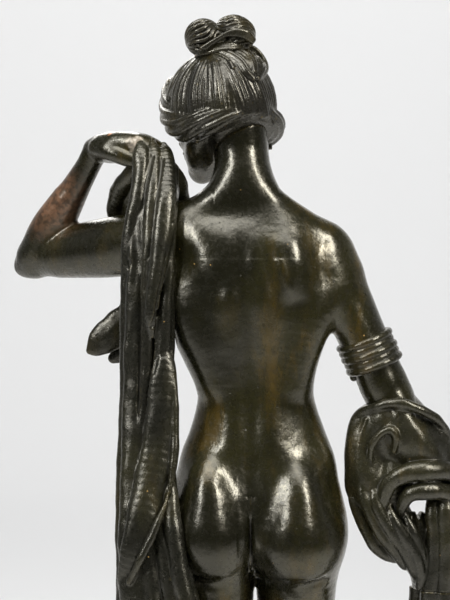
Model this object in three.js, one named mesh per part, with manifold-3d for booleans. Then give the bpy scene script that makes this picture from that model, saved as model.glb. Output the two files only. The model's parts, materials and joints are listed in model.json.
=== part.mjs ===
// Bronze statuette of a standing bather, on a bronze ground and a turned marble plinth.
// Millimetres, +Z up, the figure faces -Y, her left is +X. The origin is the centre of the underside.
// The figure is cast hollow in sections. Each limb has a spigot that sits in a socket of the body and is
// locked by a cross pin. Screws hold the feet and the drapery to the ground, and studs hold the ground
// to the plinth.
import * as THREE from "three";
import { mergeVertices } from "three/addons/utils/BufferGeometryUtils.js";
import Module from "manifold-3d";

const wasm = await Module();
wasm.setup();

// ---------------------------------------------------------------- driving dimensions
const PAD_T = 2; // baize under the plinth
const PLINTH_TOP = 40;
const SOLE = 60; // top of the bronze ground, where the feet stand
const PLINTH_R = 108;
const GROUND_R = 98;
const GAP = 0.3; // clearance between neighbouring castings
const WALL = 5; // bronze wall of the hollow figure
const PIN_R = 1.5;
const SPIGOT_R = 7;
const SPIGOT_LEN = 12;
const STUD_R = 3;
const STUD_X = 62; // studs stand on either side of the figure
const STUD_TOP = 53;
const BOSS_R = 8; // bosses under the ground that take the studs
const BOSS_LOW = 43;
const WASHER_R = 8.5;
const WASHER_T = 1.8;
const NUT_R = 6; // across the corners / 2
const NUT_T = 5;
const BORE_R = 11; // pocket under the plinth for a washer and nut
const BORE_TOP = 16;
const SCREW_R = 2;
const SCREW_LOW = 51; // underside of the shank, inside its head
const SCREW_TOP = 72;
const SCREW_HEAD_T = 3;
const GROUND_T = 6; // top wall of the hollow ground
const LIMB_SIDES = 10; // faces round a limb
const TURNED_SIDES = 72; // faces round a turned piece

// Body landmarks, shared by the castings that meet there
const SHOULDER_L = [50, -6, 545];
const ELBOW_L = [141, -60, 534];
const WRIST_L = [100, -24, 598];
const SHOULDER_R = [-38, 0, 540];
const ELBOW_R = [-80, -2, 446];
const WRIST_R = [-130, -42, 392];
const HEAD = [22, -12, 628];
const HEAD_TURN = THREE.MathUtils.degToRad(40); // towards her left
const BUN = [22, 0, 664];
const BUN_SIZE = [21, 15, 13];
const NECK_JOINT_Z = 600;
// Each finger: offset towards the thumb, distance of its knuckle from the wrist, and its three bones
const FINGERS = [
  [10, 32, 15, 9, 8],
  [3.4, 33, 16, 10, 8],
  [-3.4, 32, 15, 9, 8],
  [-9.8, 29, 12, 7, 7],
];
const FINGER_R = 3.8;
const THUMB_R = 4.4;
const ARM_CUT_X = 66; // plane where the left arm meets the body, under the drapery
const ARM_JOINT = 0.66; // share of the right upper arm cast with the body, up to the armlet
const DRAPE_SPLIT_Z = 340; // joint between the two lengths of the left drapery

// ---------------------------------------------------------------- materials
const metal = (color, roughness) => new THREE.MeshStandardMaterial({ color, roughness, metalness: 0.85 });
const bronze = metal(0x2b2619, 0.35);
const clothBronze = metal(0x262318, 0.42);
const hairBronze = metal(0x2d291d, 0.38);
const brass = metal(0xb08d4a, 0.35);
const steel = metal(0x9a9c9e, 0.4);
const marble = new THREE.MeshStandardMaterial({ color: 0x1d231f, roughness: 0.2 });
const baize = new THREE.MeshStandardMaterial({ color: 0x22452e, roughness: 0.95 });

// ---------------------------------------------------------------- solid helpers
const V = (p) => new THREE.Vector3(p[0], p[1], p[2]);

/** A closed three.js geometry as a manifold solid. */
function solid(geometry) {
  const bare = geometry.clone();
  bare.deleteAttribute("normal");
  bare.deleteAttribute("uv");
  const merged = mergeVertices(bare, 1e-4);
  return new wasm.Manifold(
    new wasm.Mesh({
      numProp: 3,
      vertProperties: merged.attributes.position.array,
      triVerts: new Uint32Array(merged.index.array),
    }),
  );
}

/** A manifold solid as a named three.js mesh. */
function node(name, body, material) {
  const data = body.getMesh();
  const position = new Float32Array(data.numVert * 3);
  for (let i = 0; i < data.numVert; i++) {
    position.set(data.vertProperties.subarray(i * data.numProp, i * data.numProp + 3), i * 3);
  }
  const geometry = new THREE.BufferGeometry();
  geometry.setAttribute("position", new THREE.BufferAttribute(position, 3));
  geometry.setIndex(new THREE.BufferAttribute(new Uint32Array(data.triVerts), 1));
  geometry.computeVertexNormals();
  const mesh = new THREE.Mesh(geometry, material);
  mesh.name = name;
  return mesh;
}

const union = (parts) => parts.reduce((all, next) => all.add(next));
const cut = (body, ...tools) => tools.reduce((left, tool) => left.subtract(tool), body);
/** The largest connected body, without the crumbs that a cut can leave. */
const largest = (body) => body.decompose().sort((a, b) => b.volume() - a.volume())[0];

/** Rings of equal length joined into one closed surface with a fan at each end. */
function skin(rings) {
  const sides = rings[0].length;
  const points = rings.flat();
  const faces = [];
  for (let r = 0; r + 1 < rings.length; r++) {
    for (let i = 0; i < sides; i++) {
      const a = r * sides + i;
      const b = r * sides + ((i + 1) % sides);
      faces.push(a, b, b + sides, a, b + sides, a + sides);
    }
  }
  const first = points.length;
  for (const ring of [rings[0], rings.at(-1)]) {
    points.push(ring.reduce((sum, p) => sum.add(p), new THREE.Vector3()).divideScalar(sides));
  }
  const top = (rings.length - 1) * sides;
  for (let i = 0; i < sides; i++) {
    const j = (i + 1) % sides;
    faces.push(j, i, first, top + i, top + j, first + 1);
  }
  const geometry = new THREE.BufferGeometry().setFromPoints(points);
  geometry.setIndex(faces);
  const made = solid(geometry);
  if (made.volume() > 0) return made;
  geometry.setIndex(faces.map((_, k) => faces[k - (k % 3) + [0, 2, 1][k % 3]]));
  return solid(geometry);
}

/**
 * A limb through stations [x, y, z, a, b]: centre, half width and half depth. The half depth points
 * along front, grow swells every section, and each bump [x, y, z, spread, height] raises the skin.
 */
function limb(stations, { grow = 0, rings = 10, sides = LIMB_SIDES, front = [0, 1, 0], bumps = [] } = {}) {
  const path = new THREE.CatmullRomCurve3(stations.map(V));
  const radii = new THREE.CatmullRomCurve3(stations.map((s) => new THREE.Vector3(s[3], s[4] ?? s[3], 0)));
  const made = [];
  for (let k = 0; k <= rings; k++) {
    const centre = path.getPoint(k / rings);
    const tangent = path.getTangent(k / rings);
    const { x: a, y: b } = radii.getPoint(k / rings);
    if (k === 0) centre.addScaledVector(tangent, -grow);
    if (k === rings) centre.addScaledVector(tangent, grow);
    const side = tangent.clone().cross(V(front)).normalize();
    const depth = side.clone().cross(tangent).normalize();
    const ring = [];
    for (let i = 0; i < sides; i++) {
      const t = (2 * Math.PI * i) / sides;
      const out = side.clone().multiplyScalar((a + grow) * Math.cos(t));
      out.addScaledVector(depth, (b + grow) * Math.sin(t));
      const point = centre.clone().add(out);
      const rise = bumps.reduce(
        (sum, [x, y, z, spread, height]) =>
          sum + height * Math.exp(-point.distanceToSquared(new THREE.Vector3(x, y, z)) / (2 * spread ** 2)),
        0,
      );
      ring.push(point.addScaledVector(out.normalize(), rise));
    }
    made.push(ring);
  }
  return skin(made);
}

/** An ellipsoid at a centre, turned about Z. */
function egg(centre, radii, { grow = 0, turn = 0, detail = 14 } = {}) {
  const geometry = new THREE.SphereGeometry(1, detail, Math.round(detail * 0.6));
  geometry.scale(radii[0] + grow, radii[1] + grow, radii[2] + grow);
  geometry.rotateZ(turn).translate(...centre);
  return solid(geometry);
}

/** A cylinder between two points. */
function rod(from, to, radius, sides = 12) {
  const axis = V(to).sub(V(from));
  const geometry = new THREE.CylinderGeometry(radius, radius, axis.length(), sides);
  const upright = new THREE.Vector3(0, 1, 0);
  geometry.applyQuaternion(new THREE.Quaternion().setFromUnitVectors(upright, axis.clone().normalize()));
  geometry.translate(...along(from, to, 0.5));
  return solid(geometry);
}

/** A turned piece from an outline of [radius, height] that closes on itself. */
function turned(outline) {
  const profile = outline.map(([r, z]) => new THREE.Vector2(r, z));
  return solid(new THREE.LatheGeometry(profile, TURNED_SIDES).rotateX(Math.PI / 2));
}

const block = (size, centre) => solid(new THREE.BoxGeometry(...size).translate(...centre));

/** A point a share of the way from one landmark to another, moved on by extra millimetres. */
function along(from, to, share, extra = 0) {
  const step = V(to).sub(V(from));
  return V(from).addScaledVector(step, share).addScaledVector(step.normalize(), extra).toArray();
}

// ---------------------------------------------------------------- figure
const TORSO = [
  [1, -2, 344, 20, 14],
  [1, -1, 353, 42, 26],
  [1, 0, 374, 53, 32],
  [1, -1, 394, 50, 31],
  [1, -2, 423, 43, 27],
  [3, -2, 454, 36, 24],
  [2, 0, 485, 39, 28],
  [2, 1, 515, 44, 30],
  [3, 2, 540, 42, 25],
  [4, 1, 559, 30, 18],
  [6, -1, 573, 17, 16],
  [9, -3, 590, 15, 15.5],
  [12, -5, 606, 15, 16],
];
const mirrored = ([x, ...rest]) => [
  [x, ...rest],
  [-x, ...rest],
];
const TORSO_BUMPS = [
  ...mirrored([23, 32, 365, 17, 12]), // seat
  ...mirrored([20, -28, 500, 12, 16]), // bust
  ...mirrored([26, 27, 527, 11, 3]), // shoulder blades
  [0, -30, 402, 17, 3], // belly
];
const torso = (grow, detail = {}) =>
  limb(TORSO, { grow, rings: 20, sides: 20, bumps: TORSO_BUMPS, ...detail });

const STANDING_LEG = [
  [22, 0, 396, 19, 22],
  [27, 0, 366, 27, 31],
  [26, -1, 336, 25.5, 30],
  [24, -3, 300, 24, 26.5],
  [21, -6, 250, 18.5, 20],
  [20, -9, 222, 16.5, 17.5],
  [18, 0, 186, 15.5, 17.5],
  [16, 2, 130, 11, 12.5],
  [14, 3, 88, 9, 11],
  [14, 4, 70, 9.5, 13],
];
const STANDING_FOOT = [
  [14, 21, 67, 6, 6],
  [14, 8, 71, 10, 11],
  [15, -20, 70, 11, 9],
  [17, -46, 66, 13.5, 5],
  [18, -66, 63.5, 8, 3],
];

const RELAXED_LEG = [
  [-21, 0, 394, 19, 22],
  [-25, -1, 364, 26, 30],
  [-23, -5, 334, 24.5, 28],
  [-22, -13, 298, 23, 25.5],
  [-21, -27, 248, 18, 19.5],
  [-21, -32, 220, 16.5, 17.5],
  [-26, -17, 184, 15.5, 17.5],
  [-33, 2, 130, 11, 12.5],
  [-38, 13, 88, 9, 11],
  [-39, 14, 70, 9.5, 13],
];
const RELAXED_FOOT = [
  [-35, 31, 67, 6, 6],
  [-39, 18, 71, 10, 11],
  [-47, -8, 70, 11, 9],
  [-55, -32, 66, 13.5, 5],
  [-61, -51, 63.5, 8, 3],
];

const legs = (grow) => [
  limb(STANDING_LEG, { grow }),
  limb(RELAXED_LEG, { grow }),
  ...[STANDING_FOOT, RELAXED_FOOT].map((foot) => limb(foot, { grow, rings: 5, sides: 8, front: [0, 0, 1] })),
];

const shoulderLeft = (grow) =>
  limb(
    [
      [28, 1, 548, 13, 12],
      [42, -1, 545, 19, 18],
      [...SHOULDER_L, 19.5, 19],
      [...along(SHOULDER_L, ELBOW_L, 0.45), 18, 18],
    ],
    { grow, rings: 6 },
  );
const upperArmRight = (grow) =>
  limb(
    [
      [-24, 3, 546, 12, 12],
      [-35, 2, 539, 17, 17],
      [...along(SHOULDER_R, ELBOW_R, 0.12), 17, 17],
      [...along(SHOULDER_R, ELBOW_R, 0.4), 15, 16],
      [...along(SHOULDER_R, ELBOW_R, ARM_JOINT), 14.5, 15],
    ],
    { grow, rings: 10 },
  );
const forearmRight = (grow) =>
  limb(
    [
      [...along(SHOULDER_R, ELBOW_R, ARM_JOINT), 14.5, 15],
      [...ELBOW_R, 14, 14],
      [...along(ELBOW_R, WRIST_R, 0.35), 12.5, 12.5],
      [...along(ELBOW_R, WRIST_R, 0.8), 8.5, 8.5],
      [...WRIST_R, 7.5, 7],
    ],
    { grow, rings: 9 },
  );

const headTurned = (x, y, z) => {
  const p = new THREE.Vector3(x, y, z).applyAxisAngle(new THREE.Vector3(0, 0, 1), HEAD_TURN);
  return [HEAD[0] + p.x, HEAD[1] + p.y, HEAD[2] + p.z];
};

/** The bare body that the drapery must clear, swollen by grow. */
const figure = (grow) =>
  union([torso(grow), ...legs(grow), shoulderLeft(grow), upperArmRight(grow)]);

const footPlane = block([400, 400, 200], [0, 0, SOLE + GAP - 100]);
const leftOfArmCut = block([200, 200, 200], [ARM_CUT_X + 100, 0, 540]);

const armJoint = along(SHOULDER_L, ELBOW_L, (ARM_CUT_X - SHOULDER_L[0]) / (ELBOW_L[0] - SHOULDER_L[0]));
const spigotLeft = (r) => rod(along(armJoint, SHOULDER_L, 0, SPIGOT_LEN), along(armJoint, ELBOW_L, 0, 6), r);
const forearmJoint = along(SHOULDER_R, ELBOW_R, ARM_JOINT);
const spigotRight = (r) =>
  rod(along(SHOULDER_R, ELBOW_R, ARM_JOINT, -SPIGOT_LEN), along(SHOULDER_R, ELBOW_R, ARM_JOINT, 4), r);
const neckAxis = [
  [6, -3, 574],
  [11, -5, NECK_JOINT_Z + 2],
];
/** The spigot under the head; depth lengthens it downwards for its socket. */
const spigotNeck = (r, depth) =>
  rod(along(...neckAxis, 1, -SPIGOT_LEN - 4 - depth), along(...neckAxis, 1, 4), r);

const pinLeft = (r) => {
  const [x, y, z] = along(armJoint, SHOULDER_L, 0, SPIGOT_LEN / 2);
  return rod([x, y, z - 22], [x, y, z + 22], r, 10);
};
const pinRight = (r) => {
  const [x, y, z] = along(SHOULDER_R, ELBOW_R, ARM_JOINT, -6);
  return rod([x - 2, y - 22, z - 0.5], [x + 2, y + 22, z + 0.5], r, 10);
};
const pinNeck = (r) => rod([-12, -4, 590], [28, -4, 592], r, 10);

const footScrewSpots = [
  [14, 6],
  [-39, 16],
];
const drapeScrewSpots = [
  [50, 34],
  [-76, -18],
];
/** A round-head screw that comes up through the ground. */
const screw = ([x, y], grow = 0) =>
  union([
    rod([x, y, SCREW_LOW], [x, y, SCREW_TOP + grow], SCREW_R + grow, 8),
    rod(
      [x, y, SCREW_LOW + 1 - SCREW_HEAD_T - grow],
      [x, y, SCREW_LOW + 1 + grow],
      SCREW_R * 1.9 + grow,
      10,
    ),
  ]);

function bodyCasting() {
  const core = union([
    torso(-WALL, { rings: 10, sides: 10 }),
    ...[STANDING_LEG, RELAXED_LEG].map((leg) => limb(leg.slice(1, 5), { grow: -WALL, rings: 4, sides: 8 })),
  ]);
  return largest(
    cut(
      figure(0),
      core,
      footPlane,
      leftOfArmCut,
      block([80, 80, 40], [9, -4, NECK_JOINT_Z + 20]),
      spigotNeck(SPIGOT_R + GAP, GAP),
      spigotLeft(SPIGOT_R + GAP),
      spigotRight(SPIGOT_R + GAP),
      pinLeft(PIN_R + GAP),
      pinRight(PIN_R + GAP),
      pinNeck(PIN_R + GAP),
      ...footScrewSpots.map((spot) => screw(spot, GAP)),
    ),
  );
}

/** The head, built round its own centre and turned with headTurned. */
function headCasting() {
  const turn = HEAD_TURN;
  const skull = egg(headTurned(0, 2, 5), [28, 35, 27], { turn, detail: 14 });
  const face = egg(headTurned(0, -12, -14), [21, 24, 31], { turn });
  const nose = limb(
    [
      [...headTurned(0, -33, 3), 2.5],
      [...headTurned(0, -38, -9), 4],
      [...headTurned(0, -34, -12), 2.5],
    ],
    { rings: 3, sides: 6 },
  );
  const throat = limb(
    [
      [11, -4, NECK_JOINT_Z + GAP, 16, 17],
      [14, -5, NECK_JOINT_Z + 16, 18, 19],
    ],
    { rings: 2 },
  );
  const hair = egg(headTurned(2, 2, 0), [31, 35, 31], { turn, detail: 16 });
  const sideRolls = [-1, 1].map((side) =>
    egg(headTurned(side * 24, -4, -9), [10, 18, 11], { turn, detail: 12 }),
  );
  const napeRoll = egg(headTurned(0, 20, -9), [24, 13, 11], { turn, detail: 12 });
  const bunSeat = egg(BUN, BUN_SIZE, { grow: GAP });
  const below = block([90, 90, 60], [12, -5, NECK_JOINT_Z + GAP - 30]);
  const head = cut(union([skull, face, nose, throat, hair, napeRoll, ...sideRolls]), bunSeat, below);
  return largest(cut(union([head, spigotNeck(SPIGOT_R, 0)]), pinNeck(PIN_R + GAP)));
}

/**
 * A hand from its wrist: reach points along the fingers, palm out of the palm and thumb to the thumb's
 * side. bends are the three finger joints in degrees, and thumbPath is in steps along those directions.
 */
function hand(wrist, { reach, palm, thumb, bends, thumbPath }, grow) {
  const f = V(reach).normalize();
  const n = V(palm).addScaledVector(f, -V(palm).dot(f)).normalize();
  const t = n.clone().cross(f);
  if (t.dot(V(thumb)) < 0) t.negate();
  const at = (a, b, c) => {
    const spot = V(wrist).addScaledVector(f, a).addScaledVector(t, b).addScaledVector(n, c);
    return spot.toArray();
  };
  const fingers = FINGERS.map(([side, start, ...bones], i) => {
    const points = [at(start, side, 0)];
    let angle = 0;
    bones.forEach((bone, joint) => {
      angle += THREE.MathUtils.degToRad(bends[joint] + i * 2);
      const tip = V(points.at(-1)).addScaledVector(f, bone * Math.cos(angle));
      points.push(tip.addScaledVector(n, bone * Math.sin(angle)).toArray());
    });
    const stations = points.map((p, k) => [...p, FINGER_R * (1 - 0.1 * k)]);
    return limb(stations, { grow, rings: 5, sides: 6, front: t.toArray() });
  });
  const thumbStations = thumbPath.map((step) => [...at(...step), THUMB_R]);
  return union([
    limb(
      [
        [...at(-4, 0, 0), 8, 7],
        [...at(8, 1, 0), 10, 7],
        [...at(22, 1, 0), 14, 6.5],
        [...at(33, 0, 0), 14, 5],
      ],
      { grow, rings: 5, front: n.toArray() },
    ),
    ...fingers,
    limb(thumbStations, { grow, rings: 4, sides: 6, front: f.toArray() }),
  ]);
}

const leftHand = {
  reach: [-0.86, 0.5, 0.05],
  palm: [0, 0, -1],
  thumb: [0, 1, 0],
  bends: [38, 48, 34],
  thumbPath: [
    [6, 8, 3],
    [20, 13, 10],
    [33, 9, 16],
  ],
};
const rightHand = {
  reach: [-0.44, -0.54, -0.72],
  palm: [0.72, 0.28, -0.65],
  thumb: [0.55, -0.8, 0.26],
  bends: [12, 26, 20],
  thumbPath: [
    [6, 8, 2],
    [18, 15, 6],
    [33, 16, 9],
  ],
};

function leftArmCasting(grow = 0) {
  return union([
    limb(
      [
        [...along(SHOULDER_L, ELBOW_L, 0.1), 18.5],
        [...along(SHOULDER_L, ELBOW_L, 0.6), 17],
        [...along(SHOULDER_L, ELBOW_L, 0.93), 15],
        [...along(SHOULDER_L, ELBOW_L, 1.07), 9],
      ],
      { grow, rings: 8 },
    ),
    limb(
      [
        [...along(ELBOW_L, WRIST_L, -0.02), 11],
        [...along(ELBOW_L, WRIST_L, 0.25), 13.5],
        [...along(ELBOW_L, WRIST_L, 0.75), 9.5],
        [...WRIST_L, 7.5],
      ],
      { grow, rings: 8 },
    ),
    hand(WRIST_L, leftHand, grow),
  ]);
}

const rightForearmCasting = (grow = 0) => union([forearmRight(grow), hand(WRIST_R, rightHand, grow)]);

function armletRing() {
  const centre = V(forearmJoint);
  const axis = V(ELBOW_R).sub(V(SHOULDER_R)).normalize();
  // five turns of a thong, each a low ridge: [distance along the arm, radius]
  const ridges = [-8, -4, 0, 4, 8].flatMap((middle) => [
    [middle - 1.9, 16.6],
    [middle, 17.8],
    [middle + 1.9, 16.6],
  ]);
  const rings = ridges.map(([offset, r]) => [...centre.clone().addScaledVector(axis, offset).toArray(), r]);
  const band = union(rings.slice(1).map((ring, k) => limb([rings[k], ring], { rings: 1, sides: 18 })));
  return cut(band, upperArmRight(GAP), forearmRight(GAP), pinRight(PIN_R + GAP));
}

// ---------------------------------------------------------------- drapery
/**
 * A hanging cloth from stations [z, left x, right x, middle y, fold depth, slant]. folds is the number
 * of folds across it, lean moves them sideways on the way down, thick is the half thickness, and the
 * slant is how much further back the right edge lies than the left.
 */
function hangingCloth(stations, { folds, lean, thick, levels, across }) {
  const edges = new THREE.CatmullRomCurve3(stations.map(([z, l, r]) => new THREE.Vector3(l, r, z)));
  const depths = new THREE.CatmullRomCurve3(stations.map(([, , , ...d]) => V(d)));
  const rings = [];
  for (let k = 0; k <= levels; k++) {
    const share = k / levels;
    const { x: left, y: right, z } = edges.getPoint(share);
    const { x: middle, y: fold, z: slant } = depths.getPoint(share);
    const face = (i, side) => {
      const s = i / across;
      const wave = fold * Math.cos(2 * Math.PI * (folds * s + lean * share));
      const half = thick * (0.35 + 0.65 * Math.sqrt(1 - (2 * s - 1) ** 8));
      const y = middle + wave + slant * (s - 0.5) + side * half;
      return new THREE.Vector3(left + (right - left) * s, y, z);
    };
    const back = Array.from({ length: across + 1 }, (_, i) => face(i, 1));
    const front = Array.from({ length: across + 1 }, (_, i) => face(across - i, -1));
    rings.push([...back, ...front]);
  }
  return skin(rings);
}

const leftCloth = () =>
  hangingCloth(
    [
      [597, 70, 50, 10, 2, 4],
      [570, 75, 46, 15, 2.5, 6],
      [540, 79, 46, 24, 3, 6],
      [500, 80, 47, 20, 3, 6],
      [450, 80, 46, 17, 3, 6],
      [400, 82, 45, 22, 3.5, 6],
      [350, 83, 38, 39, 4, 6],
      [300, 84, 26, 41, 5, 6],
      [230, 86, 14, 40, 6, 8],
      [150, 88, 4, 39, 7, 8],
      [SOLE + GAP, 82, -4, 40, 8, 8],
    ],
    { folds: 4, lean: 0.6, thick: 5, levels: 15, across: 18 },
  );

const frontCloth = () =>
  hangingCloth(
    [
      [592, 74, 50, -12, 2, 6],
      [576, 91, 45, -27, 2.5, 18],
      [562, 95, 44, -38, 3, 18],
      [545, 91, 46, -46, 3, 10],
      [520, 87, 49, -49, 3.5, 6],
      [498, 94, 54, -50, 3.5, 4],
      [480, 105, 58, -50, 3.5, 4],
      [468, 92, 62, -50, 3, 4],
    ],
    { folds: 3, lean: 0.3, thick: 5, levels: 9, across: 12 },
  );

/** The cloth thrown over the right forearm: a thick sleeve, with a lobe that hangs inside the arm. */
const rightSleeve = () =>
  union([
    limb(
      [
        [...along(SHOULDER_R, ELBOW_R, 0.96), 20, 19],
        [...along(ELBOW_R, WRIST_R, 0.15), 21, 20],
        [...along(ELBOW_R, WRIST_R, 0.55), 20, 19],
        [...along(ELBOW_R, WRIST_R, 0.88), 14, 13],
      ],
      { rings: 7, sides: 14 },
    ),
    limb(
      [
        [-73, -2, 430, 13, 13],
        [-69, -1, 404, 17, 15],
        [-73, 0, 378, 17, 14],
        [-84, 0, 356, 12, 11],
        [-93, -1, 341, 7, 7],
      ],
      { rings: 6, sides: 10 },
    ),
  ]);

const rightCloth = () =>
  hangingCloth(
    [
      [408, -98, -128, -2, 2, 14],
      [380, -97, -129, -2, 3, 14],
      [330, -95, -128, -5, 4, 12],
      [250, -88, -121, -10, 5, 8],
      [160, -73, -107, -15, 5, 6],
      [90, -62, -96, -17, 5, 4],
      [SOLE + GAP, -57, -91, -18, 5, 4],
    ],
    { folds: 2, lean: -0.2, levels: 9, across: 10, thick: 6 },
  );

// ---------------------------------------------------------------- base
const ground = () =>
  cut(
    turned([
      [0, SOLE - GROUND_T],
      [GROUND_R - 8, SOLE - GROUND_T],
      [GROUND_R - 6, PLINTH_TOP + GAP],
      [GROUND_R, PLINTH_TOP + GAP],
      [GROUND_R, 47],
      [GROUND_R - 3, 51],
      [GROUND_R - 1, 56],
      [GROUND_R - 4, SOLE],
      [0, SOLE],
    ]),
    ...[...footScrewSpots, ...drapeScrewSpots].map((spot) => screw(spot, GAP)),
  );

/** An upright cylinder at x with its lower and upper ends. */
const upright = (x, low, high, radius, sides = 16) => rod([x, 0, low], [x, 0, high], radius, sides);
const studHole = (x) => upright(x, 0, STUD_TOP + GAP, STUD_R + GAP);
/** A boss under the ground that takes a stud. */
const groundBoss = (x) => upright(x, BOSS_LOW, SOLE - GROUND_T + 0.5, BOSS_R).subtract(studHole(x));

function plinth() {
  const outline = [
    [0, PAD_T + GAP],
    [PLINTH_R, PAD_T + GAP],
    [PLINTH_R, 12],
    [PLINTH_R - 4, 16],
    [PLINTH_R - 8, 24],
    [PLINTH_R - 7, 31],
    [PLINTH_R - 5, 35],
    [PLINTH_R - 7, PLINTH_TOP],
    [0, PLINTH_TOP],
  ];
  const holes = [-STUD_X, STUD_X].flatMap((x) => [
    rod([x, 0, 0], [x, 0, 60], STUD_R + GAP),
    rod([x, 0, 0], [x, 0, BORE_TOP], BORE_R, 20),
  ]);
  return cut(turned(outline), ...holes);
}

const stud = (x) => upright(x, BORE_TOP - 8, STUD_TOP, STUD_R);
/** A stack under the plinth: the washer against the marble, the nut under the washer. */
const washerLow = BORE_TOP - GAP - WASHER_T;
const washer = (x) => upright(x, washerLow, washerLow + WASHER_T, WASHER_R).subtract(studHole(x));
const nut = (x) => upright(x, washerLow - GAP - NUT_T, washerLow - GAP, NUT_R, 6).subtract(studHole(x));

// ---------------------------------------------------------------- assembly
const statuette = new THREE.Group();
const add = (name, body, material) => statuette.add(node(name, body, material));

// Bodies swollen by the clearance, which cut the drapery that lies against them
const figureClear = figure(GAP * 2);
const leftArmClear = leftArmCasting(GAP * 2);
const rightForearmClear = rightForearmCasting(GAP * 2);

const besideArmCut = block([200, 200, 300], [ARM_CUT_X + GAP - 100, 0, 430]);
const leftArmShape = union([cut(leftArmCasting(), besideArmCut), spigotLeft(SPIGOT_R)]);
const aboveForearmCut = limb(
  [
    [...along(SHOULDER_R, ELBOW_R, 0.3), 30],
    [...along(SHOULDER_R, ELBOW_R, ARM_JOINT, GAP), 30],
  ],
  { rings: 1 },
);
const forearmShape = union([cut(rightForearmCasting(), aboveForearmCut), spigotRight(SPIGOT_R)]);

add("body_casting", bodyCasting(), bronze);
add("head_casting", headCasting(), hairBronze);
add("topknot_casting", egg(BUN, BUN_SIZE), hairBronze);
add("left_arm_casting", largest(cut(leftArmShape, pinLeft(PIN_R + GAP))), bronze);
add("right_forearm_casting", largest(cut(forearmShape, pinRight(PIN_R + GAP))), bronze);
add("armlet", largest(armletRing()), bronze);
add("neck_pin", pinNeck(PIN_R).intersect(torso(-0.4)), brass);
add("left_arm_pin", pinLeft(PIN_R).intersect(shoulderLeft(-0.4)), brass);
add("right_arm_pin", pinRight(PIN_R).intersect(upperArmRight(-0.4)), brass);

const drapeScrewHoles = drapeScrewSpots.map((spot) => screw(spot, GAP));
const leftDrape = cut(leftCloth(), figureClear, leftArmClear, frontCloth());
const belowJoint = block([400, 400, 1000], [0, 0, DRAPE_SPLIT_Z + GAP - 500]);
const aboveJoint = block([400, 400, 1000], [0, 0, DRAPE_SPLIT_Z + 500]);
const rightFall = cut(rightCloth(), rightForearmClear, rightSleeve(), figureClear, ...drapeScrewHoles);
add("front_drapery", largest(cut(frontCloth(), figureClear, leftArmClear)), clothBronze);
add("left_drapery_upper", largest(cut(leftDrape, belowJoint)), clothBronze);
add("left_drapery_lower", largest(cut(leftDrape, aboveJoint, ...drapeScrewHoles)), clothBronze);
add("right_drapery_sleeve", largest(cut(rightSleeve(), figureClear, rightForearmClear)), clothBronze);
add("right_drapery_fall", largest(rightFall), clothBronze);

add("ground_casting", union([ground(), groundBoss(-STUD_X), groundBoss(STUD_X)]), bronze);
["left", "right"].forEach((side, i) => {
  add(`foot_screw_${side}`, screw(footScrewSpots[i]), brass);
  add(`drapery_screw_${side}`, screw(drapeScrewSpots[i]), brass);
});
add("marble_plinth", plinth(), marble);
for (const [side, x] of [
  ["left", STUD_X],
  ["right", -STUD_X],
]) {
  add(`plinth_stud_${side}`, stud(x), steel);
  add(`plinth_washer_${side}`, washer(x), steel);
  add(`plinth_nut_${side}`, nut(x), steel);
}
add(
  "baize_pad",
  turned([
    [0, 0],
    [PLINTH_R - 3, 0],
    [PLINTH_R - 3, PAD_T],
    [0, PAD_T],
  ]),
  baize,
);

export default statuette;
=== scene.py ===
import json
import math

import bpy
import numpy as np
import openvdb
from mathutils import Matrix, Vector

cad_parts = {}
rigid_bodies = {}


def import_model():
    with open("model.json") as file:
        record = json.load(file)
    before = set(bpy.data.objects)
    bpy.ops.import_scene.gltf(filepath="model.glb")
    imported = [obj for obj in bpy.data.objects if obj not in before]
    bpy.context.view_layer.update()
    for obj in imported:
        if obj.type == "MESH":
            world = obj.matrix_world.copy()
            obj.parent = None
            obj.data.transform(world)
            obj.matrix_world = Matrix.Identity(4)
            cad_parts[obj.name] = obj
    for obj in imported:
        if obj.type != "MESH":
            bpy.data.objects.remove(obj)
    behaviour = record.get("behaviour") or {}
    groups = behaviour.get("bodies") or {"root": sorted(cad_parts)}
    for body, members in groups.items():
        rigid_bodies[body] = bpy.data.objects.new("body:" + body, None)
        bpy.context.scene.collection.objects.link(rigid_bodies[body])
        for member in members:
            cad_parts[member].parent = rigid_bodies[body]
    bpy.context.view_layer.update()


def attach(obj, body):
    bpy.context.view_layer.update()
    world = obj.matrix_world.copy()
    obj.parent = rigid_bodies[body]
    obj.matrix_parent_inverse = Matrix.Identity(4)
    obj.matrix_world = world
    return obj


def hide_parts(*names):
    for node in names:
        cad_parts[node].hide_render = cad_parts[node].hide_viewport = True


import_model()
MM = 0.001
COARSE = 1.0  # grid step multiplier
SOLE = 60.0  # top of the bronze ground
FAR = 60.0  # distance written where the grid holds nothing


# ------------------------------------------------------------------ modelling wax
def smooth_min(a, b, k):
    """The lower of two distance fields, blended over k millimetres."""
    if k <= 0:
        return np.minimum(a, b)
    h = np.maximum(k - np.abs(a - b), 0) / k
    return np.minimum(a, b) - h * h * k * 0.25


def spline(points, steps):
    """A Catmull-Rom curve through rows of numbers."""
    p = np.array(points, float)
    p = np.vstack([2 * p[0] - p[1], p, 2 * p[-1] - p[-2]])
    rows = []
    for i in range(1, len(p) - 2):
        for t in np.linspace(0, 1, steps, endpoint=False):
            a, b, c, d = p[i - 1], p[i], p[i + 1], p[i + 2]
            second, third = 2 * a - 5 * b + 4 * c - d, 3 * b - a - 3 * c + d
            rows.append(0.5 * (2 * b + (c - a) * t + second * t**2 + third * t**3))
    rows.append(p[-2])
    return np.array(rows)


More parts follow.
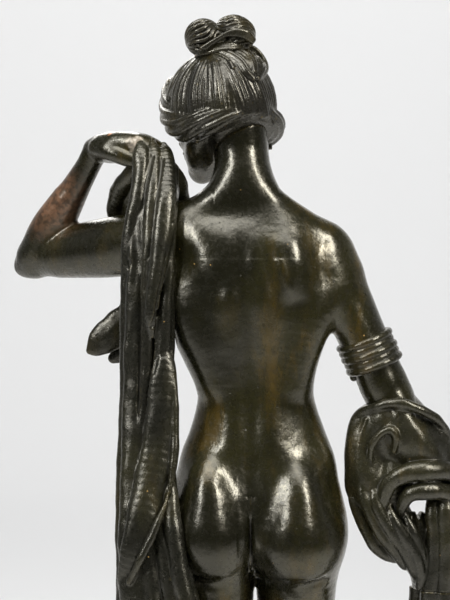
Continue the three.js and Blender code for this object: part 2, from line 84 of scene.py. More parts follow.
def offsets(x, y, z, centre, turn=None):
    """Offsets from a centre, along the columns of a 3 by 3 matrix if one is given."""
    x, y, z = x - centre[0], y - centre[1], z - centre[2]
    if turn is None:
        return x, y, z
    m = np.array(turn, np.float32)
    return tuple(x * m[0, i] + y * m[1, i] + z * m[2, i] for i in range(3))


def from_segment(x, y, z, a, b):
    """The share of the way from a to b that lies nearest to each place, and the offset from there."""
    ax, ay, az = (np.float32(v) for v in (b - a)[:3])
    px, py, pz = x - np.float32(a[0]), y - np.float32(a[1]), z - np.float32(a[2])
    t = np.clip((px * ax + py * ay + pz * az) / (ax * ax + ay * ay + az * az + 1e-9), 0, 1)
    return t, px - t * ax, py - t * ay, pz - t * az


class Wax:
    """A lump of modelling wax, held as a grid of signed distances in millimetres."""

    def __init__(self, low, high, step):
        self.step = step * COARSE
        self.low = np.array(low, np.float32)
        size = np.ceil((np.array(high) - self.low) / self.step).astype(int) + 1
        self.axes = [self.low[i] + self.step * np.arange(size[i], dtype=np.float32) for i in range(3)]
        self.d = np.full(size, FAR, np.float32)

    def whole(self):
        """The coordinates of the whole grid."""
        x, y, z = self.axes
        return x[:, None, None], y[None, :, None], z[None, None, :]

    def window(self, low, high, pad):
        """The part of the grid around a box, and its coordinates."""
        cut = []
        for i in range(3):
            a = int(np.clip(math.floor((low[i] - pad - self.low[i]) / self.step), 0, self.d.shape[i]))
            b = int(np.clip(math.ceil((high[i] + pad - self.low[i]) / self.step) + 1, 0, self.d.shape[i]))
            cut.append(slice(a, max(a, b)))
        x, y, z = (axis[c] for axis, c in zip(self.axes, cut))
        return tuple(cut), x[:, None, None], y[None, :, None], z[None, None, :]

    def merge(self, cut, field, k, carve=False):
        """Adds a field to the lump, or takes it away."""
        if carve:
            self.d[cut] = -smooth_min(-self.d[cut], field, k)
        else:
            self.d[cut] = smooth_min(self.d[cut], field, k)

    def egg(self, centre, radii, k=0.0, turn=None, carve=False):
        """An ellipsoid; turn is a 3 by 3 matrix whose columns are its axes."""
        c = np.array(centre, np.float32)
        r = np.array(radii, np.float32)
        reach = r.max() if turn is not None else r
        cut, x, y, z = self.window(c - reach, c + reach, k + 2)
        x, y, z = offsets(x, y, z, c, turn)
        k0 = np.sqrt((x / r[0]) ** 2 + (y / r[1]) ** 2 + (z / r[2]) ** 2) + 1e-6
        k1 = np.sqrt((x / r[0] ** 2) ** 2 + (y / r[1] ** 2) ** 2 + (z / r[2] ** 2) ** 2) + 1e-6
        field = k0 * (k0 - 1) / k1
        self.merge(cut, field, k, carve)

    def tube(self, points, k=0.0, steps=6, flat=None, carve=False):
        """A round limb through points [x, y, z, radius]; flat = (direction, share) thins it that way."""
        rows = spline(points, steps) if steps > 1 else np.array(points, float)
        rows[:, 3] = np.maximum(rows[:, 3], 0.05)
        grow = rows[:, 3].max() + k + 2
        cut, x, y, z = self.window(rows[:, :3].min(0), rows[:, :3].max(0), grow)
        field = np.full(np.broadcast_shapes(x.shape, y.shape, z.shape), FAR, np.float32)
        start = [c.start for c in cut]
        for a, b in zip(rows[:-1], rows[1:]):
            reach = max(a[3], b[3]) + k + 1.5
            sub, sx, sy, sz = self.window(np.minimum(a, b)[:3], np.maximum(a, b)[:3], reach)
            own = tuple(slice(s.start - o, s.stop - o) for s, o in zip(sub, start))
            if field[own].size == 0:
                continue
            t, qx, qy, qz = from_segment(sx, sy, sz, a, b)
            square = qx * qx + qy * qy + qz * qz
            if flat is not None:
                n, share = flat
                along = qx * n[0] + qy * n[1] + qz * n[2]
                square = square + along * along * (1 / share**2 - 1)
            field[own] = np.minimum(field[own], np.sqrt(square) - (a[3] + t * (b[3] - a[3])))
        self.merge(cut, field, k, carve)

    def loft(self, rows, k=0.0, power=2.0):
        """An upright body from rows [z, left x, right x, front y, back y]."""
        rows = spline(sorted(rows), 8)
        z0, z1 = rows[0, 0], rows[-1, 0]
        low = (rows[:, 2].min(), rows[:, 3].min(), z0)
        high = (rows[:, 1].max(), rows[:, 4].max(), z1)
        cut, x, y, z = self.window(low, high, k + 3)
        zz = z.ravel()
        sides = (np.interp(zz, rows[:, 0], rows[:, i]) for i in range(1, 5))
        left, right, front, back = (side[None, None, :] for side in sides)
        cx, cy = (left + right) / 2, (front + back) / 2
        a, b = np.maximum((left - right) / 2, 0.5), np.maximum((back - front) / 2, 0.5)
        u, v = np.abs(x - cx) / a, np.abs(y - cy) / b
        k0 = (u**power + v**power) ** (1 / power) + 1e-6
        k1 = np.sqrt((u / a) ** 2 + (v / b) ** 2) + 1e-6
        field = (k0 * (k0 - 1) / k1).astype(np.float32)
        field = np.minimum(field, FAR)
        beyond = np.maximum(z0 - z, z - z1)
        past_end = np.sqrt(np.maximum(field, 0) ** 2 + beyond**2)
        field = np.where(beyond > 0, past_end, np.maximum(field, beyond))
        self.merge(cut, field, k)

    def turn(self, outline):
        """A body turned about the Z axis from a closed outline of [radius, height]."""
        cut, x, y, z = self.window([a[0] for a in self.axes], [a[-1] for a in self.axes], 0)
        radius = np.sqrt(x * x + y * y)
        p = np.array(outline, np.float32)
        far, inside = np.full(self.d.shape, 1e9, np.float32), np.zeros(self.d.shape, bool)
        for (ra, za), (rb, zb) in zip(p, np.roll(p, -1, axis=0)):
            dr, dz = rb - ra, zb - za
            t = np.clip(((radius - ra) * dr + (z - za) * dz) / (dr * dr + dz * dz), 0, 1)
            far = np.minimum(far, (radius - ra - t * dr) ** 2 + (z - za - t * dz) ** 2)
            if dz:
                inside ^= ((z > za) != (z > zb)) & (radius < ra + (z - za) / dz * dr)
        self.merge(cut, np.where(inside, -1, 1) * np.sqrt(far), 0)

    def swell(self, centre, spread, height, turn=None):
        """Raises the skin by height at centre, falling off over spread; a negative height presses in."""
        s = np.broadcast_to(np.array(spread, np.float32), 3)
        c = np.array(centre, np.float32)
        cut, x, y, z = self.window(c, c, 2.6 * s.max())
        x, y, z = offsets(x, y, z, c, turn)
        self.d[cut] -= height * np.exp(-0.5 * ((x / s[0]) ** 2 + (y / s[1]) ** 2 + (z / s[2]) ** 2))

    def line(self, points, width, height, steps=6):
        """A raised (or, with a negative height, a cut) line through points [x, y, z]."""
        rows = spline(points, steps)
        cut, x, y, z = self.window(rows.min(0), rows.max(0), 3 * width)
        near = np.full(np.broadcast_shapes(x.shape, y.shape, z.shape), 1e6, np.float32)
        for a, b in zip(rows[:-1], rows[1:]):
            _, qx, qy, qz = from_segment(x, y, z, a, b)
            near = np.minimum(near, qx * qx + qy * qy + qz * qz)
        self.d[cut] -= height * np.exp(-near / (2 * width**2))

    def ripple(self, height, length, seed=0):
        """Small uneven swellings, as left by the modeller's thumb."""
        rng = np.random.default_rng(seed)
        x, y, z = self.whole()
        for _ in range(4):
            a = rng.normal(size=(3, 3)) / length
            p = rng.uniform(0, 6, 3)
            waves = (np.sin(a[i, 0] * x + a[i, 1] * y + a[i, 2] * z + p[i]) for i in range(3))
            self.d += (height / 2 * next(waves) * next(waves) * next(waves)).astype(np.float32)

    def soften(self, centre, spread, rounds, share=1.0):
        """Smooths the surface near a point, fading out over spread."""
        c, r = np.array(centre, np.float32), 2 * np.array(spread, np.float32)
        cut, x, y, z = self.window(c - r, c + r, 0)
        smooth = self.d[cut].copy()
        for _ in range(rounds):
            for axis in range(3):
                pad = np.take(smooth, [0, *range(smooth.shape[axis]), -1], axis)
                n = smooth.shape[axis]
                smooth = 0.5 * smooth + 0.25 * (pad.take(range(n), axis) + pad.take(range(2, n + 2), axis))
        square = ((x - c[0]) / r[0]) ** 2 + ((y - c[1]) / r[1]) ** 2 + ((z - c[2]) / r[2]) ** 2
        mask = share * np.exp(-2 * square)
        self.d[cut] += mask * (smooth - self.d[cut])

    def keep(self, point, normal, k=0.0):
        """Cuts away everything beyond a plane, with an edge rounded over k."""
        n = np.array(normal, np.float32) / np.linalg.norm(normal)
        x, y, z = self.whole()
        plane = (x - point[0]) * n[0] + (y - point[1]) * n[1] + (z - point[2]) * n[2]
        self.d = -smooth_min(-self.d, -plane.astype(np.float32), k)

    def sample(self, points):
        """The distance at each point, between grid values."""
        g = (points - self.low) / self.step
        top = np.array(self.d.shape) - 2
        i = np.clip(np.floor(g).astype(int), 0, top)
        f = np.clip(g - i, 0, 1)
        total = np.zeros(len(points))
        for dx in (0, 1):
            for dy in (0, 1):
                for dz in (0, 1):
                    w = (f[:, 0] if dx else 1 - f[:, 0]) * (f[:, 1] if dy else 1 - f[:, 1])
                    w = w * (f[:, 2] if dz else 1 - f[:, 2])
                    total += w * self.d[i[:, 0] + dx, i[:, 1] + dy, i[:, 2] + dz]
        return total

    def slope(self, points):
        """How fast the distance rises along X, Y and Z at each point."""
        h = self.step * 0.8
        out = np.empty((len(points), 3))
        for i in range(3):
            step = np.zeros(3)
            step[i] = h
            out[:, i] = self.sample(points + step) - self.sample(points - step)
        return out / (2 * h)

    def cast(self, name, place=None):
        """The wax as a Blender object. place is a 4 by 4 matrix in millimetres."""
        grid = openvdb.FloatGrid(3.0)
        grid.copyFromArray(np.clip(self.d, -3, 3), tolerance=0.0)
        points, tris, quads = grid.convertToPolygons(isovalue=0.0, adaptivity=0.0)
        points = np.asarray(points, float) * self.step + self.low
        for _ in range(2):
            g = self.slope(points)
            size = np.maximum((g**2).sum(1, keepdims=True), 0.05)
            move = self.sample(points)[:, None] * g / size
            points = points - np.clip(move, -0.4 * self.step, 0.4 * self.step)
        g = self.slope(points)
        normals = g / np.maximum(np.linalg.norm(g, axis=1, keepdims=True), 1e-6)
        if place is not None:
            m = np.array(place)
            points = points @ m[:3, :3].T + m[:3, 3]
            normals = normals @ m[:3, :3].T
        quads = np.asarray(quads)
        tris = np.asarray(tris) if len(tris) else np.zeros((0, 3), int)
        return make_mesh(name, points, quads, tris, normals)


def make_mesh(name, points, quads, tris=(), normals=None):
    """A smooth-shaded object from points in millimetres."""
    mesh = bpy.data.meshes.new(name)
    nq, nt = len(quads), len(tris)
    mesh.vertices.add(len(points))
    mesh.vertices.foreach_set("co", (np.asarray(points) * MM).astype(np.float32).ravel())
    flat = np.concatenate([np.asarray(quads, np.int32).ravel(), np.asarray(tris, np.int32).ravel()])
    mesh.loops.add(len(flat))
    mesh.loops.foreach_set("vertex_index", flat.astype(np.int32))
    mesh.polygons.add(nq + nt)
    starts = np.concatenate([np.arange(nq) * 4, nq * 4 + np.arange(nt) * 3])
    mesh.polygons.foreach_set("loop_start", starts.astype(np.int32))
    mesh.polygons.foreach_set("use_smooth", np.ones(nq + nt, bool))
    mesh.update(calc_edges=True)
    mesh.validate()
    if normals is not None and len(mesh.vertices) == len(normals):
        mesh.normals_split_custom_set_from_vertices(normals.astype(np.float32))
    obj = bpy.data.objects.new(name, mesh)
    bpy.context.scene.collection.objects.link(obj)
    return obj


def settle(obj, material, slot, *nodes):
    """Gives a piece its finish and its place in the assembly."""
    obj.data.materials.clear()
    obj.data.materials.append(material)
    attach(obj, "root")
    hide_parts(*nodes)
    return obj


def rotation(nod=0.0, roll=0.0, turn=0.0):
    """Nod about X, then roll about Y, then turn about Z, in degrees."""
    m = Matrix.Rotation(math.radians(turn), 3, "Z") @ Matrix.Rotation(math.radians(roll), 3, "Y")
    return np.array(m @ Matrix.Rotation(math.radians(nod), 3, "X"))


# ------------------------------------------------------------------ landmarks
def point(*values):
    return np.array(values, float)


SHOULDER_L, ELBOW_L, WRIST_L = point(50, -6, 545), point(141, -60, 534), point(99, -24, 599)
SHOULDER_R, ELBOW_R, WRIST_R = point(-38, 0, 540), point(-80, -2, 446), point(-130, -42, 392)
HEAD = point(22, -12, 627)
NECK_CUT, NECK_SLOPE = point(10, -4, 599), point(0.44, -0.53, 1)  # joint of neck and body


def mix(a, b, share, r=None):
    """A point a share of the way from a to b, with a radius if one is given."""
    p = a + (b - a) * share
    return p if r is None else [*p, r]


# ------------------------------------------------------------------ body
def neck(wax, to=lambda p: p):
    """The neck, shared by the body and the head so that the joint is invisible."""
    rows = [
        (7, -1, 562, 16.5), (8, -2, 576, 16), (9, -3, 590, 16.2), (11, -3, 604, 17.6),
        (13, -3, 618, 19.5),
    ]
    wax.tube([[*to(point(*row[:3])), row[3]] for row in rows], k=0, steps=5)


def sculpt_body():
    """Neck, trunk, left shoulder, right upper arm, legs and feet."""
    wax = Wax((-82, -76, 58.5), (70, 50, 618), 0.8)
    # trunk: hips, waist, rib cage, shoulders
    wax.loft(
        [
            [346, 22, -18, -14, 10],
            [353, 42, -38, -26, 20],
            [364, 52, -48, -31, 28],
            [376, 54, -51, -32, 31],
            [390, 52, -50, -32, 31],
            [403, 49, -47.5, -32, 28],
            [416, 44.8, -44, -31, 24],
            [430, 40.6, -39.5, -29, 21],
            [443, 37.2, -35, -27, 19],
            [455, 36.4, -32.6, -26, 19],
            [468, 43, -33.4, -27, 21],
            [480, 48.5, -36, -28.5, 24],
            [492, 48.5, -39, -30, 27],
            [506, 48.5, -41, -30, 30],
            [522, 47, -41, -28, 31],
            [536, 42, -38, -25, 29],
            [548, 36, -31, -20, 24],
            [558, 26, -20, -15, 18],
            [566, 18, -8, -12, 12],
        ],
        power=2.25,
    )
    neck(wax)
    # slope of the shoulders and collar bones
    wax.tube([[6, 4, 578, 10], [-8, 5, 563, 11], [-25, 4, 550, 12], [-38, 2, 541, 13]], k=14)
    wax.tube([[12, 3, 580, 10], [24, 4, 567, 11], [37, 2, 556, 12], [50, -3, 549, 14]], k=14)
    # right shoulder and upper arm
    wax.tube([[-26, 1, 533, 14], [-38, 1, 535, 16.5], mix(SHOULDER_R, ELBOW_R, 0.18, 16)], k=8)
    wax.tube(
        [
            mix(SHOULDER_R, ELBOW_R, 0.08, 15.8),
            mix(SHOULDER_R, ELBOW_R, 0.22, 16),
            mix(SHOULDER_R, ELBOW_R, 0.42, 15.2),
            mix(SHOULDER_R, ELBOW_R, 0.6, 14.6),
            mix(SHOULDER_R, ELBOW_R, 0.74, 14.6),
        ],
        k=6,
    )
    wax.tube(
        [
            mix(SHOULDER_R, ELBOW_R, 0.3, 8) + point(2, 8, 0, 0),
            mix(SHOULDER_R, ELBOW_R, 0.62, 9) + point(2, 6, 0, 0),
        ],
        k=8, steps=2,
    )
    # left shoulder, raised
    wax.tube(
        [
            [28, 2, 540, 15], [44, -2, 545, 18], mix(SHOULDER_L, ELBOW_L, 0.12, 19),
            mix(SHOULDER_L, ELBOW_L, 0.3, 18.5),
        ],
        k=10,
    )
    # back muscles that run from the arms down to the waist
    wax.tube([[-40, 6, 520, 11], [-34, 12, 500, 11], [-27, 11, 478, 9], [-22, 8, 458, 7]], k=12)
    wax.tube([[50, 2, 524, 11], [42, 10, 502, 11], [34, 10, 480, 9], [28, 8, 458, 7]], k=12)
    # bust and belly
    for side, z in ((1, 503), (-1, 499)):
        wax.egg((3 + side * 20, -25, z), (16.5, 16, 16), k=9)
        wax.tube([[3 + side * 26, -20, z + 30, 7], [3 + side * 22, -28, z + 8, 12]], k=12, steps=3)
    wax.egg((3, -16, 402), (32, 19, 26), k=14)
    # seat
    wax.egg((28.2, 17, 367), (24, 24.5, 26), k=7)
    wax.egg((-22, 17, 364), (26, 25, 27), k=7)
    wax.egg((29, 10, 380), (20, 29, 38), k=7)
    wax.egg((-23, 10, 377), (21, 29.5, 38), k=7)
    wax.egg((42, 4, 374), (14, 22, 24), k=10)
    wax.egg((-38, 4, 371), (14, 22, 24), k=10)
    # thighs: front and back masses
    wax.tube(
        [
            [25, -6, 376, 24], [27, -7, 345, 23], [26, -9, 305, 21], [23, -12, 262, 17],
            [20, -14, 228, 14],
        ],
        k=8,
    )
    wax.tube(
        [[27, 8, 366, 24], [27, 7, 340, 22.5], [25, 5, 305, 20], [22, 3, 262, 16], [20, 2, 232, 13]],
        k=9,
    )
    wax.tube(
        [
            [-23, -7, 374, 24], [-24, -11, 345, 23], [-22, -18, 305, 21], [-21, -30, 262, 17],
            [-21, -37, 228, 14],
        ],
        k=8,
    )
    wax.tube(
        [
            [-24, 7, 364, 24], [-24, 3, 340, 22], [-23, -4, 305, 19.5], [-22, -14, 262, 15.5],
            [-21, -22, 232, 13],
        ],
        k=9,
    )
    # knees, shins, calves
    wax.egg((20, -17, 221), (11, 9, 13), k=8)
    wax.egg((-21, -41, 219), (11, 9, 13), k=8)
    wax.tube(
        [
            [20, -10, 226, 14], [19, -8, 205, 13.5], [18, -5, 180, 12.5], [16, -3, 140, 9.5],
            [14, -1, 100, 7.5], [14, 1, 76, 8],
        ],
        k=7,
    )
    wax.tube([[24, 2, 212, 9], [25, 6, 190, 11.5], [23, 8, 168, 10.5], [18, 7, 140, 7]], k=9)
    wax.tube([[14, 2, 212, 9], [12, 6, 188, 12], [12, 8, 164, 10], [13, 8, 138, 7]], k=9)
    wax.tube([[15, 8, 140, 6], [14.5, 10, 112, 4.2], [14, 13, 90, 4], [14, 15, 72, 5.5]], k=7)
    wax.tube(
        [
            [-21, -34, 226, 14], [-22, -29, 205, 13.5], [-25, -20, 180, 12.5], [-31, -7, 140, 9.5],
            [-36, 5, 100, 7.5], [-38, 10, 76, 8],
        ],
        k=7,
    )
    wax.tube([[-17, -20, 212, 9], [-19, -12, 190, 11.5], [-22, -5, 168, 10.5], [-29, 2, 140, 7]], k=9)
    wax.tube([[-27, -20, 212, 9], [-31, -11, 188, 12], [-33, -3, 164, 10], [-34, 3, 138, 7]], k=9)
    wax.tube([[-32, 3, 140, 6], [-35, 12, 112, 4.2], [-37, 19, 90, 4], [-37, 23, 72, 5.5]], k=7)
    foot(wax, point(14, 3, 0), -4, 1)
    foot(wax, point(-39, 13, 0), 18, -1)
    shape_back(wax)
    wax.soften((9, 10, 572), (26, 18, 20), 40)
    wax.soften((3, -30, 504), (36, 16, 22), 30, 0.85)
    for side, z in ((1, 501), (-1, 497)):
        wax.swell((3 + side * 22, -40, z), 2.2, 1.2)
    wax.keep(NECK_CUT, NECK_SLOPE)
    wax.keep((0, 0, SOLE), (0, 0, -1))
    wax.keep((66, 0, 540), (1, 0, 0))
    return wax


def foot(wax, ankle, turn, side):
    """A bare foot under an ankle; side is 1 for the left foot, and the big toe is on the inner side."""
    m = rotation(turn=turn)
    at = lambda x, y, z: point(*(m @ point(x, y, 0))[:2], 0) + point(ankle[0], ankle[1], SOLE + z)
    row = lambda x, y, z, r: [*at(x, y, z), r]
    inner = -side
    wax.tube([row(0, 2, 22, 8.5), row(0, 1, 14, 9.5)], k=6, steps=2)
    wax.egg(at(inner * 7.5, 0, 19), (3.5, 4, 4), k=4)
    wax.egg(at(-inner * 7.5, 3, 16), (3.5, 4, 4), k=4)
    wax.egg(at(0, 15, 8), (8.5, 9, 8.5), k=7)
    wax.tube([row(0, 8, 12, 8.5), row(inner * 2, -12, 12, 8), row(inner * 3, -30, 8, 6.5)], k=8)
    wax.tube([row(-inner * 4, 4, 8, 7), row(-inner * 7, -14, 6, 6), row(-inner * 9, -32, 5, 5)], k=8)
    wax.tube([row(inner * 3, -20, 8, 7), row(inner * 6, -38, 6, 6.5)], k=6, steps=2)
    for i in range(5):
        x = inner * (8.5 - 4.7 * i)
        root = -38 + 2.4 * i
        big = 4.6 if i == 0 else 3.0 - 0.15 * i
        tip = root - (17 if i == 0 else 14.5 - 1.6 * i)
        wax.tube(
            [
                row(x, root + 6, 5, big), row(x * 1.02, root - 5, 4.6, big * 0.92),
                row(x * 1.0, tip, 3.2, big * 0.95),
            ],
            k=1.6,
        )
        wax.egg(at(x, tip - 0.6, 4.6), (big * 0.7, big * 0.8, big * 0.55), k=1.0)


def shape_back(wax):
    """The modelling of the back, which the sculptor finished most carefully."""
    spine = [
        [10, 26, 572], [11, 30, 552], [11, 34, 528], [8, 32, 500], [5.5, 25, 470], [5, 22, 445],
        [5, 26, 418], [5.5, 31, 398],
    ]
    wax.line(spine, 3.4, -3.0)
    wax.line([[5, 28, 408], [5.5, 34, 396], [5.6, 40, 384]], 4.0, -2.0)
    # long muscles on both sides of the spine
    wax.line([[-4, 30, 505], [-7, 25, 475], [-8, 21, 448], [-7, 25, 424]], 6.5, 2.0)
    wax.line([[19, 30, 505], [18, 25, 475], [18, 21, 448], [18, 25, 424]], 6.5, 2.0)
    # shoulder blades
    tilt = rotation(roll=14)
    wax.swell((-22, 30, 533), (10, 9, 17), 3.8, tilt)
    wax.line([[-6, 33, 556], [-9, 35, 540], [-14, 35, 522], [-20, 33, 508]], 2.6, 1.8)
    wax.line([[-2, 33, 552], [-4, 34, 538], [-8, 34, 518], [-14, 32, 500]], 2.8, -1.3)
    wax.line([[-12, 30, 556], [-26, 27, 556], [-38, 18, 552]], 3.0, 0.6)
    wax.line([[-14, 33, 549], [-26, 30, 548], [-38, 22, 543]], 3.4, -0.6)
    wax.swell((-22, 32, 504), (7, 7, 4), -1.6)
    wax.swell((36, 27, 540), (10, 9, 16), 3.6, rotation(roll=-24))
    wax.line([[20, 32, 560], [22, 35, 545], [27, 35, 526], [35, 32, 514]], 2.6, 1.8)
    wax.line([[16, 32, 556], [17, 34, 540], [21, 34, 520], [27, 32, 506]], 2.8, -1.3)
    # seventh neck bone, and the diamond of the neck muscle below it
    wax.swell((10, 18, 573), (3.5, 4, 4), 2.0)
    wax.line([[9, 22, 566], [0, 28, 552], [4, 33, 532]], 3.5, 0.4)
    wax.line([[12, 22, 566], [20, 28, 554], [17, 33, 534]], 3.5, 0.4)
    # dimples above the seat, sacrum
    wax.swell((-7, 32, 404), 5, -1.3)
    wax.swell((18, 32, 404), 5, -1.3)
    wax.swell((5.5, 36, 397), (7, 6, 6), 1.2)
    wax.soften((6, 27, 416), (24, 15, 20), 50, 0.85)
    wax.soften((28, 36, 384), (17, 12, 18), 50, 0.9)
    wax.soften((-22, 36, 382), (17, 12, 18), 50, 0.9)
    # cleft and the folds below the seat
    wax.line([[5.6, 38, 388], [5.5, 42, 370], [5.2, 39, 350]], 4.2, -2.0)
    wax.egg((5.2, 40, 362), (0.9, 15, 25), k=3.5, carve=True)
    wax.line([[10, 32, 345], [24, 34, 341], [40, 26, 347]], 2.6, -3.0)
    wax.line([[-1, 32, 342], [-18, 34, 338], [-36, 26, 343]], 2.6, -3.0)
    # flank above the hip bone
    wax.swell((-41, 8, 413), (6, 12, 7), 1.8)
    wax.swell((44, 8, 416), (6, 12, 7), 1.8)
    wax.swell((-46, 12, 384), (7, 11, 9), -2.2)
    wax.swell((49, 12, 387), (7, 11, 9), -2.2)
    # backs of the knees
    wax.swell((20, 8, 226), (7, 5, 10), -2.4)
    wax.swell((-22, -14, 226), (7, 5, 10), -2.4)
    # belly, navel, groin, collar bones, breast bone
    wax.line([[3, -28, 480], [3, -27, 455], [3, -31, 430]], 3.0, -1.6)
    wax.swell((3, -36, 419), (2.2, 4, 2.8), -3.5)
    wax.line([[-38, -20, 398], [-22, -28, 374], [-4, -26, 353]], 3.2, -2.6)
    wax.line([[44, -20, 400], [28, -28, 376], [9, -26, 354]], 3.2, -2.6)
    wax.swell((3, -29, 362), (9, 7, 9), 2.2)
    wax.line([[4, -20, 560], [-14, -22, 556], [-32, -15, 552]], 2.2, 2.0)
    wax.line([[8, -20, 560], [26, -22, 560], [42, -17, 559]], 2.2, 2.0)
    wax.swell((6, -24, 560), (3, 4, 3.5), -2.5)
    wax.line([[4, -30, 535], [3, -36, 505], [3, -30, 485]], 4.0, -2.4)
    # kneecaps
    for x, y in ((20, -25), (-21, -48)):
        wax.swell((x, y, 222), (6, 5, 7), 1.6)
        wax.swell((x, y + 2, 209), (4, 4, 4), 1.2)
    wax.line([[17, -17, 200], [16, -15, 150], [15, -9, 100]], 2.5, 1.4)
    wax.line([[-23, -40, 200], [-30, -22, 150], [-36, -4, 100]], 2.5, 1.4)


# ------------------------------------------------------------------ hands and arms
FINGERS = [(10, 32, 15, 9, 8), (3.4, 33, 16, 10, 8), (-3.4, 32, 15, 9, 8), (-9.8, 29, 12, 7, 7)]


def hand(wax, wrist, reach, palm, thumb_side, bends, spread, thumb):
    """A hand: reach is along the fingers, palm out of the palm, bends the three finger joints in degrees."""
    f = np.array(reach, float) / np.linalg.norm(reach)
    n = np.array(palm, float)
    n = n - n.dot(f) * f
    n /= np.linalg.norm(n)
    t = np.cross(n, f)
    if t.dot(thumb_side) < 0:
        t = -t
    at = lambda a, b, c: wrist + f * a + t * b + n * c
    row = lambda a, b, c, r: [*at(a, b, c), r]
    wax.tube([row(-1, 0, 0, 6.8), row(5, 0, 0, 7.4), row(11, 1, 0, 8.4)], k=3, flat=(n, 0.82))
    for side, start, *_ in FINGERS:
        wax.tube(
            [row(4, side * 0.4, 0, 6.2), row(18, side * 0.8, -0.4, 5.6), row(start, side, -0.6, 4.9)],
            k=3.4,
        )
    wax.egg(at(14, 10, 3.2), (8, 6, 6), k=4)
    wax.egg(at(16, -9, 3), (8, 5, 5), k=4)
    for i, (side, start, *bones) in enumerate(FINGERS):
        angle, p, r = 0.0, at(start, side, -0.4), 4.1 - (0.5 if i == 3 else 0)
        sway = spread * (1.5 - i)
        rows = [[*p, r + 0.3]]
        for joint, bone in enumerate(bones):
            angle += math.radians(bends[joint] * (1 + 0.06 * i))
            step = f * math.cos(angle) + n * math.sin(angle) + t * math.sin(math.radians(sway))
            rows.append([*(p + step * bone * 0.5), r - 0.25 - 0.3 * joint])
            p = p + step * bone
            rows.append([*p, r - 0.05 - 0.42 * joint])
        rows[-1][3] -= 0.35
        wax.tube(rows, k=1.0, steps=3)
        tip = np.array(rows[-1][:3]) - n * math.cos(angle) * 2.2 + f * math.sin(angle) * 2.2
        wax.egg(tip, (2.4, 2.4, 2.4), k=0.8)
    wax.tube([[*at(*p[:3]), p[3]] for p in thumb], k=1.6, steps=4)


def sculpt_left_arm():
    """The raised and bent left arm, with the hand that holds the cloth."""
    wax = Wax((44, -84, 515), (170, 24, 618), 0.6)
    s, e, w = SHOULDER_L, ELBOW_L, WRIST_L
    wax.tube(
        [
            mix(s, e, 0.1, 18.6), mix(s, e, 0.35, 18), mix(s, e, 0.6, 16.2), mix(s, e, 0.8, 14.6),
            mix(s, e, 0.97, 12),
        ]
    )
    wax.tube(
        [
            mix(s, e, 0.25, 10) + point(0, 2, -7, 0), mix(s, e, 0.5, 10.5) + point(0, 2, -6.5, 0),
            mix(s, e, 0.8, 8) + point(0, 2, -4, 0),
        ],
        k=7,
    )
    wax.tube(
        [
            mix(s, e, 0.4, 9) + point(0, -1, 7, 0), mix(s, e, 0.62, 9) + point(0, -1, 7, 0),
            mix(s, e, 0.8, 7) + point(0, -1, 5, 0),
        ],
        k=7,
    )
    wax.egg(e + point(3, -1, -3), (9.5, 9, 9), k=6)
    wax.egg(e + point(8, -2, -6), (5.5, 5, 5), k=5)
    wax.tube(
        [
            mix(e, w, 0.0, 11), mix(e, w, 0.2, 12.2), mix(e, w, 0.42, 11.2), mix(e, w, 0.7, 8.6),
            mix(e, w, 0.9, 7.4), mix(e, w, 1.0, 7.2),
        ],
        k=5,
    )
    wax.tube(
        [
            mix(e, w, 0.08, 7) + point(5, 3, -2, 0), mix(e, w, 0.3, 8) + point(5, 3, 0, 0),
            mix(e, w, 0.55, 6) + point(3, 2, 0, 0),
        ],
        k=6,
    )
    wax.swell(mix(e, w, 0.94) + point(6, 4, 2), 3.2, 1.0)
    hand(
        wax,
        w + point(0, 0, 2),
        (-0.94, 0.33, -0.01),
        (0, 0.1, -1),
        (0, 1, 0),
        (46, 58, 30),
        0,
        [(4, 8, 2, 5.6), (16, 12, 6, 5.4), (27, 10, 10, 4.8), (38, 6, 12, 4.2), (44, 4, 12, 3.4)],
    )
    # the heel of the hand and the bunched cloth it holds
    wax.tube(
        [
            [*(w + point(-2, 0, 1)), 7], [90, -16, 600, 9.5], [78, -12, 600, 9.5], [66, -8, 598, 8],
            [58, -5, 594, 6],
        ],
        k=3,
    )
    return wax


def sculpt_right_arm():
    """The right forearm and its hanging hand."""
    wax = Wax((-160, -90, 318), (-46, 20, 496), 0.6)
    s, e, w = SHOULDER_R, ELBOW_R, WRIST_R
    wax.tube([mix(s, e, 0.62, 14.4), mix(s, e, 0.8, 14.4), mix(s, e, 0.95, 13.6)])
    wax.tube(
        [
            mix(s, e, 0.9, 13), mix(e, w, 0.05, 13.4), mix(e, w, 0.25, 13.2), mix(e, w, 0.5, 11.2),
            mix(e, w, 0.8, 8.4), mix(e, w, 1.0, 7.2),
        ],
        k=5,
    )
    wax.egg(e + point(-3, 6, -3), (9, 8, 9), k=6)
    hand(
        wax,
        w,
        (-0.44, -0.5, -0.74),
        (0.72, 0.28, -0.65),
        (0.55, -0.8, 0.26),
        (10, 24, 18),
        3,
        [(4, 8, 2, 5.4), (15, 14, 5, 4.8), (27, 17, 8, 4.3), (38, 17, 9, 3.8), (43, 16, 9, 3.1)],
    )
    return wax


def sculpt_armlet():
    """A thong wound round the arm in five turns."""
    wax = Wax((-96, -26, 450), (-36, 26, 500), 0.45)
    axis = (ELBOW_R - SHOULDER_R) / np.linalg.norm(ELBOW_R - SHOULDER_R)
    side = np.cross(axis, point(0, 1, 0))
    side /= np.linalg.norm(side)
    depth = np.cross(side, axis)
    centre = mix(SHOULDER_R, ELBOW_R, 0.69)
    turns, steps = 5, 28
    rows = []
    for i in range(turns * steps + 1):
        a = 2 * math.pi * i / steps
        share = i / (turns * steps)
        r = 15.2 + 0.4 * math.sin(share * 17)
        offset = (share - 0.5) * 19 + 0.9 * math.sin(a)
        p = centre + axis * offset + side * r * math.cos(a) + depth * (r + 0.6) * math.sin(a)
        rows.append([*p, 2.35])
    wax.tube(rows, k=1.4, steps=1)
    return wax


